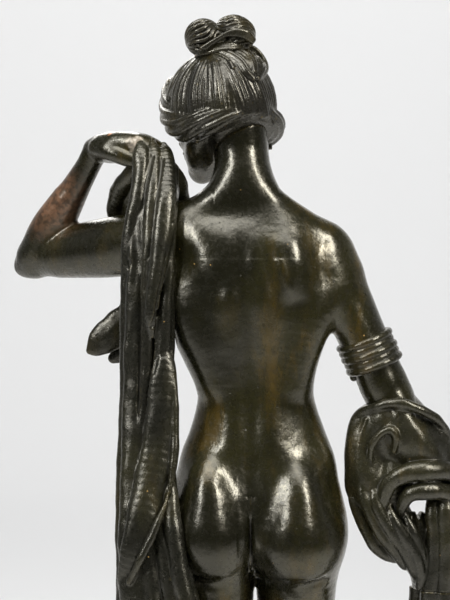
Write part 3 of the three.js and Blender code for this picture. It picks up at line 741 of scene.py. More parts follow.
# ------------------------------------------------------------------ head
HEAD_TILT = rotation(nod=12, roll=0, turn=40)
SKULL, HAIR = point(2.5, 1.5, -3), point(30.5, 34.5, 33)  # the dome of hair
KNOT_SEAT = point(0.33, 0.27, 0.9)  # direction of the knot from the middle of the dome
KNOT = ((point(33, 0, 664.5), point(10.6, 12.5, 10), 24), (point(14, 0, 667), point(12, 13.6, 9.6), -16))


def in_head(p):
    """A point of the whole figure, seen from the head's own level frame."""
    return HEAD_TILT.T @ (np.array(p, float) - HEAD)


def head_place():
    """The turn and place of the head in the whole figure."""
    m = np.eye(4)
    m[:3, :3], m[:3, 3] = HEAD_TILT, HEAD
    return m


def scalp(direction, lift=0.0):
    """The place on the dome of hair in a direction from its middle."""
    d = direction / np.linalg.norm(direction)
    return SKULL + HAIR * d + d * lift


def on_scalp(x, z, lift=0.0):
    """The place on the back of the dome, in the head's frame, that lies at x and z of the figure."""
    start, step = in_head((x, 60, z)) - SKULL, HEAD_TILT.T @ point(0, -1, 0)
    r = HAIR + lift
    a, b, c = ((step / r) ** 2).sum(), (start * step / r**2).sum(), ((start / r) ** 2).sum() - 1
    return SKULL + start + step * (-b - math.sqrt(max(b * b - a * c, 0))) / a


def comb(wax, start, end, wave=0.0, width=7.0, lift=0.0, strands=5, seed=0):
    """A combed lock over the dome, in low relief: fine strands side by side that draw together."""
    rng = np.random.default_rng(seed)
    a, b = start / np.linalg.norm(start), end / np.linalg.norm(end)
    across = np.cross(a, b)
    across /= np.linalg.norm(across) + 1e-9
    for offset in np.linspace(-1, 1, strands):
        rows, drift = [], rng.uniform(-0.2, 0.2)
        for t in np.linspace(0, 1, 9):
            bend = wave * math.sin(t * 5 + seed) * math.sin(t * math.pi)
            spread = (offset + drift * math.sin(t * math.pi)) * width * (1 - 0.55 * t) / 70
            crown = 0.8 * (1 - offset**2) * (1 - 0.4 * t)
            d = a * (1 - t) + b * t + across * (bend + spread)
            rows.append([*scalp(d, lift + crown - 0.75), width / 70 * 13 * (1 - 0.4 * t)])
        wax.tube(rows, k=0.7, steps=2)


def lay(wax, rows, r, lift=0.8, strands=4, k=0.5):
    """A raised waving lock on the back of the head through [x, z, half width] of the figure."""
    for offset in np.linspace(-1, 1, strands):
        path = []
        for i, (x, z, half) in enumerate(rows):
            ahead = np.array(rows[min(i + 1, len(rows) - 1)][:2]) - np.array(rows[max(i - 1, 0)][:2])
            out = point(ahead[1], -ahead[0]) / np.linalg.norm(ahead)
            px, pz = x + out[0] * offset * half, z + out[1] * offset * half
            path.append([*on_scalp(px, pz, lift + 1.2 * (1 - offset**2)), r])
        wax.tube(path, k=k, steps=5)


def sculpt_head():
    """Face, ears and hair, made level and facing -Y in the head's own frame."""
    wax = Wax((-42, -50, -62), (42, 50, 44), 0.42)
    # the mass of hair stops at a line from the brow to the nape
    wax.egg(SKULL, HAIR)
    wax.keep((0, 30, -19), (0, -0.55, -1), k=6)
    # skull, face and neck
    wax.egg((0, 4, 0.5), (26, 32, 28), k=1)
    wax.egg((0, -6, 8), (22.5, 22.5, 18.5), k=5)
    wax.egg((0, -11, -9), (21.5, 23, 28), k=5)
    wax.egg((0, -17, -25), (14, 14, 15), k=7)
    for side in (-1, 1):
        wax.tube([[side * 18, 1, -16, 6.5], [side * 15, -12, -28, 6.5], [0, -27, -36, 6]], k=6)
    neck(wax, in_head)
    wax.tube([[*in_head((11, -3, 600)), 17], [0, 12, -10, 21]], k=4, steps=2)
    # brow, eyes, nose, mouth, chin
    for side in (-1, 1):
        wax.swell((side * 11.5, -32.5, -1.5), (5.6, 5, 4.2), -4.6)
        wax.line([[side * 3.5, -36, 3.5], [side * 10, -35, 6], [side * 18, -29, 4.5]], 2.2, 1.2)
        wax.egg((side * 11, -27.2, -1.5), (5.4, 4.8, 4.6), k=1.2)
        wax.tube(
            [
                [side * 5.4, -31.2, -2.2, 0.9], [side * 11, -32.9, 0.6, 1.1],
                [side * 16.6, -28.9, -1.2, 0.9],
            ],
            k=0.7,
        )
        wax.tube(
            [
                [side * 5.6, -31, -2.8, 0.7], [side * 11, -31.8, -4.7, 0.8],
                [side * 16.2, -28.7, -2.6, 0.7],
            ],
            k=0.7,
        )
        wax.swell((side * 15.5, -25.5, -11), (6.5, 6, 5.5), 1.4)
        wax.egg((side * 4.1, -36.2, -15.2), (2.7, 3.2, 2.4), k=1.6)
        wax.egg((side * 2.3, -38.4, -17.4), (1.1, 1.7, 0.9), k=0.4, carve=True)
        wax.line([[side * 6.4, -35, -14.5], [side * 8.6, -33, -19], [side * 9.5, -31, -24]], 1.5, -0.7)
        wax.swell((side * 11.2, -31.5, -24), 1.8, -1.0)
        ear(wax, side)
    wax.tube([[0, -28, 10, 4.5], [0, -31.2, 3, 3.8], [0, -34.2, -4, 3.5], [0, -36.8, -10, 3.7]], k=4.5)
    wax.tube([[0, -35.6, -8, 3.2], [0, -38.8, -12.5, 3.3], [0, -39.6, -15, 3.3]], k=2.6)
    wax.line([[0, -36, -18.5], [0, -35.6, -21]], 1.0, -0.8)
    upper = [
        [-9.2, -31.2, -23.8, 0.8], [-4, -34.7, -22.2, 1.9], [0, -35.3, -22.9, 1.7],
        [4, -34.7, -22.2, 1.9], [9.2, -31.2, -23.8, 0.8],
    ]
    wax.tube(upper, k=1.4)
    wax.tube(
        [[-7.5, -32, -25, 0.9], [-3, -34.3, -26.4, 2.3], [3, -34.3, -26.4, 2.3], [7.5, -32, -25, 0.9]],
        k=1.4,
    )
    wax.line(
        [
            [-9.4, -32.6, -23.9], [-4, -36, -24.1], [0, -36.8, -24.5], [4, -36, -24.1],
            [9.4, -32.6, -23.9],
        ],
        0.6, -1.1,
    )
    wax.swell((0, -33.5, -29.6), (6, 4, 1.9), -1.3)
    wax.egg((0, -28.5, -35), (6.5, 5, 5), k=4)
    dress_hair(wax)
    wax.keep(in_head(NECK_CUT), -(HEAD_TILT.T @ NECK_SLOPE))
    return wax


def ear(wax, side):
    """An ear, mostly under the hair."""
    wax.egg((side * 26.5, 4, -11), (2.4, 5.5, 9), k=2)
    rim = [
        (27, 1, -15, 1.2), (28.5, -1, -9, 1.3), (29, 2, -3, 1.5), (29.4, 8, -4, 1.5),
        (29, 10, -10, 1.4), (28, 6, -16.5, 1.3), (27.6, 2.5, -20, 2.2),
    ]
    wax.tube([[side * x, *rest] for x, *rest in rim], k=0.7)
    wax.swell((side * 29.4, 3.6, -11.5), (2, 2.4, 4), -2.0)


def dress_hair(wax):
    """Hair drawn up from the nape and the brow to a knot, with soft rolls over the ears."""
    for side in (-1, 1):
        roll = [
            [side * 2, -32, 26, 3.0], [side * 11, -30.5, 20, 4.6], [side * 20, -24, 6, 6.2],
            [side * 26.5, -14, -8, 7.8], [side * 28, -2, -17, 8.4], [side * 26, 12, -18, 7.6],
            [side * 17.5, 23, -17, 6.2], [side * 8, 29, -15, 4.2],
        ]
        wax.tube(roll, k=4.0)
        for j in range(8):
            wind(wax, roll, j / 8, side)
    for i in range(17):  # from the nape and the sides
        a = math.radians(-118 + 236 * i / 16)
        low = -0.42 - 0.1 * abs(math.sin(a))
        comb(
            wax, point(math.sin(a) * 0.92, math.cos(a) * 0.92, low), KNOT_SEAT,
            0.04 * math.cos(i * 1.9), 8.5, 0.8 * (i % 2), seed=i,
        )
    for i in range(15):  # from the brow
        a = math.radians(-72 + 144 * i / 14)
        start = point(math.sin(a) * 0.9, -math.cos(a) * 0.9, 0.5 - 0.3 * abs(math.sin(a)))
        comb(wax, start, KNOT_SEAT, 0.05 * math.sin(i * 2.3), 8.0, 0.8 * (i % 2), seed=40 + i)
    # waving locks that fall from the foot of the knot on her right
    lay(wax, [(24, 655, 2.2), (17, 652.5, 2.6), (11, 648, 2.6), (7, 642, 2.3), (3, 637, 1.2)], 1.35, 1.8)
    lay(wax, [(20, 657, 2.0), (12, 657, 2.8), (5.5, 653, 2.8), (3, 647, 2.6), (2.5, 641, 1.4)], 1.35, 2.6)
    lay(wax, [(12, 659, 1.8), (4, 657, 2.6), (-1, 651, 2.8), (-2.4, 645, 2.4), (0.5, 637, 1.0)], 1.35, 2.4)
    lay(wax, [(31, 654, 1.6), (24, 652, 1.8), (18, 648, 1.6), (15, 643, 1.0)], 1.1, 1.0, strands=3)
    # loose curls before and behind the ears
    for side in (-1, 1):
        for x, y, z, length, size in (
            (26.5, -9, -9, 12, 2.6), (27.5, 6, -17, 12, 2.8), (24, 13, -17, 9, 2.3),
        ):
            curl(wax, (side * x, y, z), (0.1 * side, 0.0, -1), length, size, side)


def wind(wax, roll, phase, side):
    """One strand of the twist along a roll of hair."""
    rows, path = spline(roll, 5), []
    for i, (x, y, z, r) in enumerate(rows):
        ahead = rows[min(i + 1, len(rows) - 1), :3] - rows[max(i - 1, 0), :3]
        ahead /= np.linalg.norm(ahead)
        up = np.cross(ahead, (0, 0, 1.0))
        up /= np.linalg.norm(up)
        angle = side * i * 0.09 + 2 * math.pi * phase
        out = up * math.cos(angle) + np.cross(up, ahead) * math.sin(angle)
        path.append([*(point(x, y, z) + out * r * 0.9), r * 0.27])
    wax.tube(path, k=0.5, steps=1)


def curl(wax, start, down, length, size, way):
    """A small spiral curl."""
    d = np.array(down, float) / np.linalg.norm(down)
    u = np.cross(d, (1.0, 0.3, 0))
    u /= np.linalg.norm(u)
    v = np.cross(d, u)
    for phase in (0, math.pi):
        rows = []
        for t in np.linspace(0, 1, 15):
            a = way * t * 7.5 + phase
            out = u * math.cos(a) + v * math.sin(a)
            p = np.array(start, float) + d * length * t + out * size * (1 - 0.5 * t) * 0.55
            rows.append([*p, size * 0.5 * (1 - 0.45 * t)])
        wax.tube(rows, k=0.5, steps=2)


def sculpt_knot():
    """The knot of hair on the crown: two lobes of one coil, with strands wound over them."""
    wax = Wax((-4, -20, 646), (48, 22, 681), 0.38)
    wax.egg((22, 0, 657), (15, 12, 6), k=3)
    for j, (c, size, roll) in enumerate(KNOT):
        turn = rotation(roll=roll)
        wax.egg(c, size - 0.9, k=2, turn=turn)
        for i in range(19):
            rows = []
            for t in np.linspace(0.12, math.pi - 0.12, 11):
                a = 2 * math.pi * i / 19 + 0.22 * math.sin(2.6 * t + j * 2) + 0.3 * t
                swell = 0.5 * math.sin(3.1 * i)
                p = (size + swell) * point(math.cos(t), math.sin(t) * math.cos(a), math.sin(t) * math.sin(a))
                rows.append([*(c + turn @ p), 1.25 * math.sin(t) ** 0.4])
            wax.tube(rows, k=0.8, steps=3)
    # the lock wound round the foot, and the one that crosses between the lobes
    for j in range(4):
        rows = []
        for a in np.linspace(0, 2 * math.pi, 25):
            foot = 655.6 + 1.5 * j + 2.4 * math.cos(a + 0.3)
            rows.append([22 - (15 - 0.7 * j) * math.cos(a), (12.4 - 0.6 * j) * math.sin(a), foot, 1.3])
        wax.tube(rows, k=0.7, steps=2)
        cross = [
            [34 - j, 12.4, 656], [27 - j, 13.6, 660 + 0.4 * j], [19 - j, 14, 663.5 + 0.8 * j],
            [10 - j, 12.6, 663 + 0.8 * j], [4 - 0.4 * j, 9, 660 + 0.6 * j],
        ]
        wax.tube([[*p, 1.2] for p in cross], k=0.7, steps=4)
    return wax


# ------------------------------------------------------------------ drapery
BACK = point(0, 1, 0)


def folds(wax, table, k=1.6, flat=0.8):
    """Hanging folds, each a tube that is thinner from front to back."""
    for rows in table:
        wax.tube(rows, k=k, steps=5, flat=(BACK, flat))


def sculpt_left_cloth():
    """The cloth that hangs from the left hand behind the arm and down to the ground."""
    wax = Wax((-14, -14, 59), (96, 62, 604), 0.75)
    wax.loft(
        [
            [60, 84, -2, 26, 42],
            [120, 84, 2, 26, 38],
            [200, 84, 10, 26, 36],
            [280, 82, 24, 25, 37],
            [330, 81, 34, 24, 38],
            [372, 82, 44, 20, 34],
            [410, 81, 49, 15, 27],
            [460, 80, 50, 10, 20],
            [520, 78, 51, 9, 20],
            [552, 76, 51, 5, 18],
            [575, 72, 51, 0, 10],
            [592, 69, 53, -6, 3],
        ],
        power=3.0,
    )
    folds(
        wax,
        [
            # the broad fold from the hand that forms the outer edge
            [
                [71, -2, 602, 2.5], [70, 4, 594, 5.2], [69.5, 8, 582, 5.6], [71.5, 11, 567, 5.4],
                [75, 12, 553, 4.8], [77.4, 12, 538, 4.0], [78.6, 11, 510, 3.6], [79, 11, 475, 3.6],
                [78.6, 12, 440, 4.2], [79.8, 15, 405, 4.6], [80, 19, 372, 4.4], [79, 24, 340, 4.8],
                [79, 27, 300, 5.4], [80, 30, 240, 5.8], [80, 32, 160, 6.2], [79, 34, 62, 7],
            ],
            # the second fold, parted from the first by a narrow slot
            [
                [64, -3, 602, 2.5], [62, 4, 593, 4.2], [62, 11, 580, 4.6], [63.2, 16, 566, 4.6],
                [64, 20, 550, 4.4], [65, 22, 532, 4.0], [66, 22, 512, 3.6], [65.6, 21, 490, 3.4],
                [66.6, 20, 462, 3.6], [69, 20, 430, 3.8], [72, 22, 395, 3.6], [76, 25, 362, 3.0],
                [75, 30, 338, 4.6], [72, 33, 300, 5.6], [70, 35, 240, 6.2], [69, 36, 160, 6.8],
                [68, 38, 62, 8],
            ],
            # a low fold inside the hollow
            [
                [72.5, 13, 548, 1.2], [72, 14, 528, 2.2], [72.5, 14.5, 500, 2.8], [73, 15, 470, 3.2],
                [73.6, 16, 440, 3.2], [76, 19, 405, 3.4],
            ],
            # the broad fold that ends in a point
            [
                [57, -4, 600, 2.5], [55, 3, 592, 4.6], [54.4, 11, 579, 5.8], [55, 19, 564, 6.6],
                [56.4, 23, 549, 6.6], [58.6, 25, 532, 5.8], [61, 26, 514, 4.8], [63, 25.5, 499, 3.8],
                [62.8, 23, 486, 1.6],
            ],
            # the inner edge
            [
                [50, 2, 586, 2.2], [50.6, 14, 566, 3.0], [51.6, 20, 545, 3.0], [52.6, 22, 525, 3.2],
                [54.4, 22, 505, 3.6], [55.4, 21, 485, 4.0], [56, 19, 466, 3.6],
            ],
            [[52, 17, 530, 2.2], [52, 18, 505, 2.8], [52.4, 18, 475, 3.0], [52.4, 17, 456, 2.4]],
            [
                [58.6, 22, 496, 1.6], [59, 22, 478, 2.6], [60, 21, 460, 3.0], [63, 21, 436, 2.8],
                [68, 22, 408, 2.4],
            ],
            # lower folds that come out from under the turned flap
            [
                [56, 18, 418, 2.4], [52.6, 29, 396, 5.0], [50, 35, 376, 5.6], [46, 39, 352, 5.2],
                [41.5, 41, 331, 5.6], [36, 41, 300, 6.4], [29, 40, 250, 7.2], [22, 40, 170, 8],
                [16, 42, 62, 9.5],
            ],
            [
                [62, 20, 404, 2.4], [57.4, 31, 378, 4.4], [54, 36, 352, 4.8], [50, 39, 330, 5.2],
                [46, 40, 300, 5.8], [41, 40, 250, 6.6], [36, 40, 170, 7.2], [32, 42, 62, 9],
            ],
            [
                [68, 22, 388, 2.0], [64, 32, 358, 4.6], [61, 36, 335, 5.0], [58, 38, 300, 5.8],
                [54, 38, 250, 6.2], [51, 38, 170, 6.8], [49, 40, 62, 8.4],
            ],
            [
                [75, 22, 372, 2.0], [71, 31, 342, 4.4], [66, 35, 310, 5.0], [62, 37, 250, 5.6],
                [60, 37, 170, 6.0], [59, 39, 62, 7.4],
            ],
            [[28, 32, 330, 1.6], [22, 36, 270, 4.6], [12, 37, 170, 6.4], [5, 40, 62, 8]],
        ],
    )
    # the turned flap that crosses the lower folds, and its thick rim
    flap = [
        [56, 16, 484, 2.5], [56, 23, 468, 6.5], [57, 25, 448, 8.6], [58.6, 26, 425, 9.8],
        [62, 29, 402, 10.4], [67, 33, 382, 9.8], [72.5, 35, 364, 7.6], [77.5, 33, 349, 4.6],
        [80.5, 29, 340, 1.8],
    ]
    wax.tube(flap, k=1.0, steps=5, flat=(BACK, 0.42))
    rim = [
        [51.5, 20, 476, 1.6], [49.8, 24.5, 456, 2.4], [49.2, 27.5, 430, 2.8], [50.4, 31, 410, 2.8],
        [53.6, 35, 394, 2.7], [60, 39, 376, 2.6], [68, 40.5, 359, 2.4], [75, 37, 345, 1.8],
    ]
    wax.tube(rim, k=1.3, steps=5)
    # cuts between the folds
    wax.line(
        [[63.6, 8, 592], [65.4, 13, 582], [67.4, 15.5, 573], [68.4, 18, 562], [67.8, 20, 555]],
        1.0, -2.4,
    )
    wax.line(
        [[57.6, 8, 590], [58.2, 14.5, 578], [60, 21, 564], [61.5, 24.5, 548], [63.4, 26, 532]],
        0.9, -1.7,
    )
    wax.swell((71.6, 15, 536), (2.6, 4, 15), -2.0)
    for rows in (
        [[58.8, 25, 500], [60, 24, 474], [62, 25, 450], [65.6, 26, 428], [70, 27, 400], [75, 30, 372]],
        [[51.4, 24, 552], [54, 26, 540], [57, 27, 522], [60, 27, 506], [62, 26, 492]],
        [[69, 20.5, 520], [69.4, 20, 490], [70, 20, 450], [73.4, 22, 410]],
        [[75.6, 15.5, 530], [75.6, 15, 490], [76, 16, 450], [77.6, 20, 410]],
    ):
        wax.line(rows, 0.9, -1.8)
    wax.swell((57, 34, 394), (3.2, 5, 7), -3.5, rotation(roll=-20))
    wax.ripple(0.5, 7, seed=3)
    wax.keep((0, 0, SOLE + 0.2), (0, 0, -1))
    return wax


def sculpt_front_cloth():
    """The other end of the same cloth, in front of the left arm."""
    wax = Wax((40, -72, 456), (116, 2, 604), 0.6)
    folds(
        wax,
        [
            [
                [70, -8, 596, 2.4], [76, -15, 586, 5.0], [84, -26, 576, 6.0], [88.5, -37, 564, 5.4],
                [85, -46, 548, 6.0], [78, -50, 524, 5.6], [80, -50, 505, 6.0],
            ],
            [
                [66, -9, 596, 2.6], [71, -20, 580, 5.6], [78, -32, 566, 5.6], [78, -44, 548, 6.0],
                [71, -50, 522, 6.0], [73, -52, 500, 6.2], [78, -52, 482, 5.4],
            ],
            [
                [61, -9, 596, 2.6], [62, -22, 578, 5.6], [66, -32, 562, 5.8], [67, -42, 546, 6.0],
                [63, -47, 522, 6.4], [66, -50, 496, 6.6], [70, -50, 476, 5.0],
            ],
            [
                [55, -8, 592, 2.6], [53, -20, 580, 5.4], [52, -28, 564, 6.0], [56, -36, 544, 6.0],
                [54, -42, 520, 6.2], [58, -45, 494, 6.4], [62, -46, 474, 4.6],
            ],
            [[53, -6, 590, 2.0], [48.5, -15, 580, 4.8], [46, -21, 568, 4.4], [46, -26, 556, 3.0]],
            [[90, -34, 574, 1.5], [90.4, -39, 564, 3.4], [87, -46, 553, 3.0]],
        ],
        k=1.4,
        flat=0.85,
    )
    # two corners that stand out like leaves
    wax.tube(
        [
            [72, -50, 500, 8], [84, -50, 492, 11], [93, -49, 485, 10.5], [100, -49, 479, 7.4],
            [105, -49, 475.5, 3.0],
        ],
        k=2, flat=(BACK, 0.4),
    )
    wax.tube([[72, -54, 482, 8], [84, -55, 474, 6.5], [91, -55, 470, 3.6]], k=2, flat=(BACK, 0.5))
    wax.line([[78, -46, 500], [88, -45, 492], [97, -45, 482]], 1.6, 0.8)
    wax.ripple(0.5, 6, seed=8)
    return wax


def sculpt_right_cloth():
    """The cloth thrown over the right forearm, with two rolled edges and a hanging lobe."""
    wax = Wax((-138, -66, 326), (-44, 34, 464), 0.6)
    s, e = SHOULDER_R, ELBOW_R
    # the sleeve over the forearm and the mass inside the arm
    wax.tube(
        [
            [-78, 0, 434, 16], [-88, -1, 425, 19.5], [-100, -6, 415, 20], [-113, -18, 402, 19],
            [-122, -30, 390, 15],
        ],
        k=3,
    )
    wax.tube(
        [
            [-68, 0, 436, 8], [-66, 0, 424, 13.2], [-66, 0, 408, 14.4], [-67, 0, 394, 13.4],
            [-72, 0, 378, 9.5],
        ],
        k=6,
    )
    wax.tube(
        [
            [-80, 0, 402, 14], [-80, 0, 384, 11], [-84, 0, 366, 9.5], [-92, -1, 352, 7.5],
            [-97, -2, 342, 4.5],
        ],
        k=4,
    )
    # the thick lip round the mouth of the sleeve and down its inner edge
    lip = [
        [-113, 4, 427, 1.8], [-107, 10, 435, 2.6], [-98, 14.5, 441, 3.0], [-88, 16, 445, 3.2],
        [-78, 14.5, 446, 3.2], [-69, 10.5, 443.5, 3.0], [-60.5, 4, 439, 3.0], [-56.6, 2, 431, 2.8],
        [-54.8, 2, 418, 2.6], [-54.6, 2, 404, 2.6], [-55.8, 3, 392, 2.8], [-59, 4, 383, 2.4],
    ]
    wax.tube(lip, k=2.4, steps=5)
    wax.tube(
        [
            [-64, 10, 436, 1.4], [-60.6, 9.5, 424, 2.2], [-59.4, 9.5, 410, 2.4], [-60.4, 9.5, 397, 2.2],
            [-64, 9.5, 386, 1.6],
        ],
        k=1.4, steps=5,
    )
    # the ridge over the bone of the arm
    wax.tube(
        [[-84, 13, 440, 3.5], [-93, 13.5, 428, 5.0], [-102, 11.5, 415, 5.4], [-110, 7, 405, 4.6]],
        k=4, steps=5,
    )
    # the hollow beside it, under a curved fold
    wax.swell((-69, 16, 416), (5, 5, 11), -3.2, rotation(roll=30))
    wax.tube(
        [
            [-66, 12, 410, 1.2], [-66.5, 14.5, 420, 2.0], [-71, 17, 428, 2.4], [-77, 18, 430.5, 2.6],
            [-80.5, 18, 426, 2.2], [-79.5, 17, 418, 1.4],
        ],
        k=1.4, steps=5,
    )
    # two rolled bands that cross below
    wax.tube(
        [
            [-73.4, 8, 378, 1.6], [-73.6, 12.5, 388, 4.0], [-77, 16, 399, 5.0], [-86, 18, 405, 5.8],
            [-97, 17.5, 406.5, 6.2], [-109, 13, 406, 6.2], [-120, 4, 401, 5.6], [-130, -10, 394, 4.4],
        ],
        k=0.8, steps=5,
    )
    wax.tube(
        [
            [-84, 8, 376, 1.6], [-84.4, 13.5, 385, 3.6], [-89, 17, 392.5, 4.8], [-99, 17, 394.5, 5.4],
            [-110, 12.5, 393.5, 5.4], [-121, 2, 389, 5.0],
        ],
        k=0.8, steps=5,
    )
    # folds of the lobe, which run down and outward from under the bands
    for rows in (
        [
            [-58, 3, 396, 1.6], [-56.4, 5, 388, 3.0], [-60.6, 7, 377, 3.6], [-66, 8, 366, 3.6],
            [-72.5, 7, 357.5, 3.6], [-79.5, 5, 353, 3.0], [-84, 2, 351, 1.6],
        ],
        [
            [-63, 8, 404, 1.8], [-61.6, 11, 394, 3.4], [-65.4, 12, 382, 3.9], [-71.6, 12, 370, 3.9],
            [-79, 10, 360, 3.8], [-86, 7, 350.5, 3.2], [-89, 4, 347, 1.6],
        ],
        [
            [-69, 10, 398, 1.8], [-68.6, 13.5, 389, 3.6], [-73.6, 14, 377, 4.0], [-81, 12.5, 366, 3.9],
            [-88, 10, 355, 3.8], [-92.6, 7, 345, 3.0], [-93.6, 4, 340, 1.6],
        ],
        [
            [-77, 10, 386, 1.8], [-79.5, 13.5, 378, 3.4], [-86, 13, 367, 3.8], [-92.6, 11, 356, 3.6],
            [-96, 8, 345, 3.4], [-96, 5, 336, 2.0],
        ],
        [[-86, 8, 382, 1.6], [-90, 11.5, 372, 3.0], [-95, 10.5, 362, 3.2], [-98, 8, 350, 3.0]],
    ):
        wax.tube(rows, k=0.9, steps=5, flat=(BACK, 0.8))
    # the tail that hangs from the wrist
    for rows in (
        [
            [-104, 4, 392, 3], [-103.4, 9, 380, 4.6], [-104.6, 9, 366, 4.8], [-104.6, 7.5, 348, 5.2],
            [-102, 6, 330, 5.6],
        ],
        [
            [-111, 6, 394, 3], [-110.6, 12, 382, 5.0], [-111, 11.5, 366, 5.4], [-111, 10, 348, 5.6],
            [-110, 8, 330, 6.2],
        ],
        [
            [-120, -2, 394, 3], [-119, 6, 382, 5.4], [-120, 6, 366, 5.8], [-120.5, 4, 348, 6.2],
            [-119, 2, 330, 6.6],
        ],
        [
            [-126, -12, 390, 3], [-125, -6, 378, 5.0], [-126, -6, 362, 5.4], [-126, -7, 346, 5.8],
            [-124, -8, 330, 6.2],
        ],
    ):
        wax.tube(rows, k=1.0, steps=5, flat=(BACK, 0.85))
    wax.tube([[-96, 0, 374, 6.5], [-99, 0, 356, 7.5], [-100, 0, 336, 7.5]], k=3)
    # the opening between the bands and the tail
    for y in (24, 6, -14, -34):
        wax.egg((-93.6, y, 383.6), (3.6, 14, 2.6), k=1.0, carve=True)
        wax.egg((-95.6, y, 380.6), (1.6, 14, 4.4), k=1.0, carve=True)
    # the mouth of the sleeve round the arm
    axis = (e - s) / np.linalg.norm(e - s)
    wax.tube([[*(e - axis * 16), 15.4], [*(e + axis * 3), 14.4]], carve=True, k=1.5, steps=2)
    wax.ripple(0.5, 6, seed=5)
    wax.keep((0, 0, 334), (0, 0, -1))
    return wax


def sculpt_right_fall():
    """The long end of the cloth, from the wrist to the ground."""
    wax = Wax((-142, -48, 59), (-44, 22, 342), 0.8)
    folds(
        wax,
        [
            [
                [-102, 6, 340, 5.2], [-101, 2, 300, 6.4], [-95, -4, 240, 7], [-84, -8, 160, 7.4],
                [-72, -8, 62, 8.4],
            ],
            [
                [-110, 8, 340, 5.8], [-110, 3, 300, 6.6], [-104, -3, 240, 7], [-92, -8, 160, 7.6],
                [-80, -10, 62, 8.6],
            ],
            [
                [-119, 2, 340, 6.4], [-118, -3, 300, 6.8], [-111, -9, 240, 7], [-99, -13, 160, 7.2],
                [-88, -17, 62, 8],
            ],
            [
                [-125, -8, 340, 5.8], [-122, -12, 300, 6.4], [-115, -16, 240, 6.8], [-102, -20, 160, 7],
                [-91, -26, 62, 8],
            ],
            [
                [-97, -8, 338, 5.0], [-96, -10, 300, 6.4], [-90, -14, 240, 6.8], [-79, -18, 160, 7],
                [-66, -20, 62, 8.4],
            ],
            [
                [-110, -14, 338, 5.4], [-108, -17, 300, 7], [-102, -20, 240, 7.6], [-90, -24, 160, 7.8],
                [-78, -28, 62, 8.8],
            ],
        ],
        k=1.2,
        flat=0.95,
    )
    wax.ripple(0.6, 9, seed=6)
    wax.keep((0, 0, SOLE + 0.2), (0, 0, -1))
    wax.keep((0, 0, 333.7), (0, 0, 1))
    return wax


# ------------------------------------------------------------------ base
def sculpt_ground():
    """The bronze ground: a moulded rim round a patch of uneven earth."""
    wax = Wax((-101, -101, 38), (101, 101, 63), 0.9)
    wax.turn(
        [
            [0, 54], [90, 54], [92, 40.3], [97.5, 40.3], [98, 41.5], [98, 46], [95.5, 49], [95, 51],
            [96.6, 54], [96.4, 57], [93, 59.6], [88, 60], [0, 60],
        ]
    )
    rng = np.random.default_rng(11)
    for _ in range(46):
        a, d = rng.uniform(0, 2 * math.pi), 84 * math.sqrt(rng.uniform(0.02, 1))
        wax.swell((d * math.cos(a), d * math.sin(a), 60), rng.uniform(5, 13), rng.uniform(-1.3, 0.5))
    wax.line([[-70, 40, 60], [-30, 62, 60], [20, 70, 60], [60, 55, 60]], 2.4, 0.9)
    wax.line([[-60, -50, 60], [-10, -72, 60], [40, -66, 60], [72, -30, 60]], 2.0, -1.2)
    wax.ripple(0.5, 5, seed=2)
    return wax


def sculpt_plinth():
    """The turned marble plinth, bored underneath for the studs and nuts."""
    wax = Wax((-110, -110, 0), (110, 110, 42), 0.95)
    wax.turn(
        [
            [0, 2.3], [106.4, 2.3], [107.6, 3.5], [107.6, 11], [106.5, 12.4], [104.4, 13.2],
            [102.2, 16.5], [100.6, 21], [100, 25], [100.4, 29], [101.4, 30], [102.6, 31.2], [103, 34],
            [102, 37.4], [99.6, 39.6], [0, 40],
        ]
    )
    for x in (-62, 62):
        wax.tube([[x, 0, -20, 11], [x, 0, 5, 11]], carve=True, steps=1)
        wax.tube([[x, 0, -20, 3.3], [x, 0, 60, 3.3]], carve=True, steps=1)
    return wax


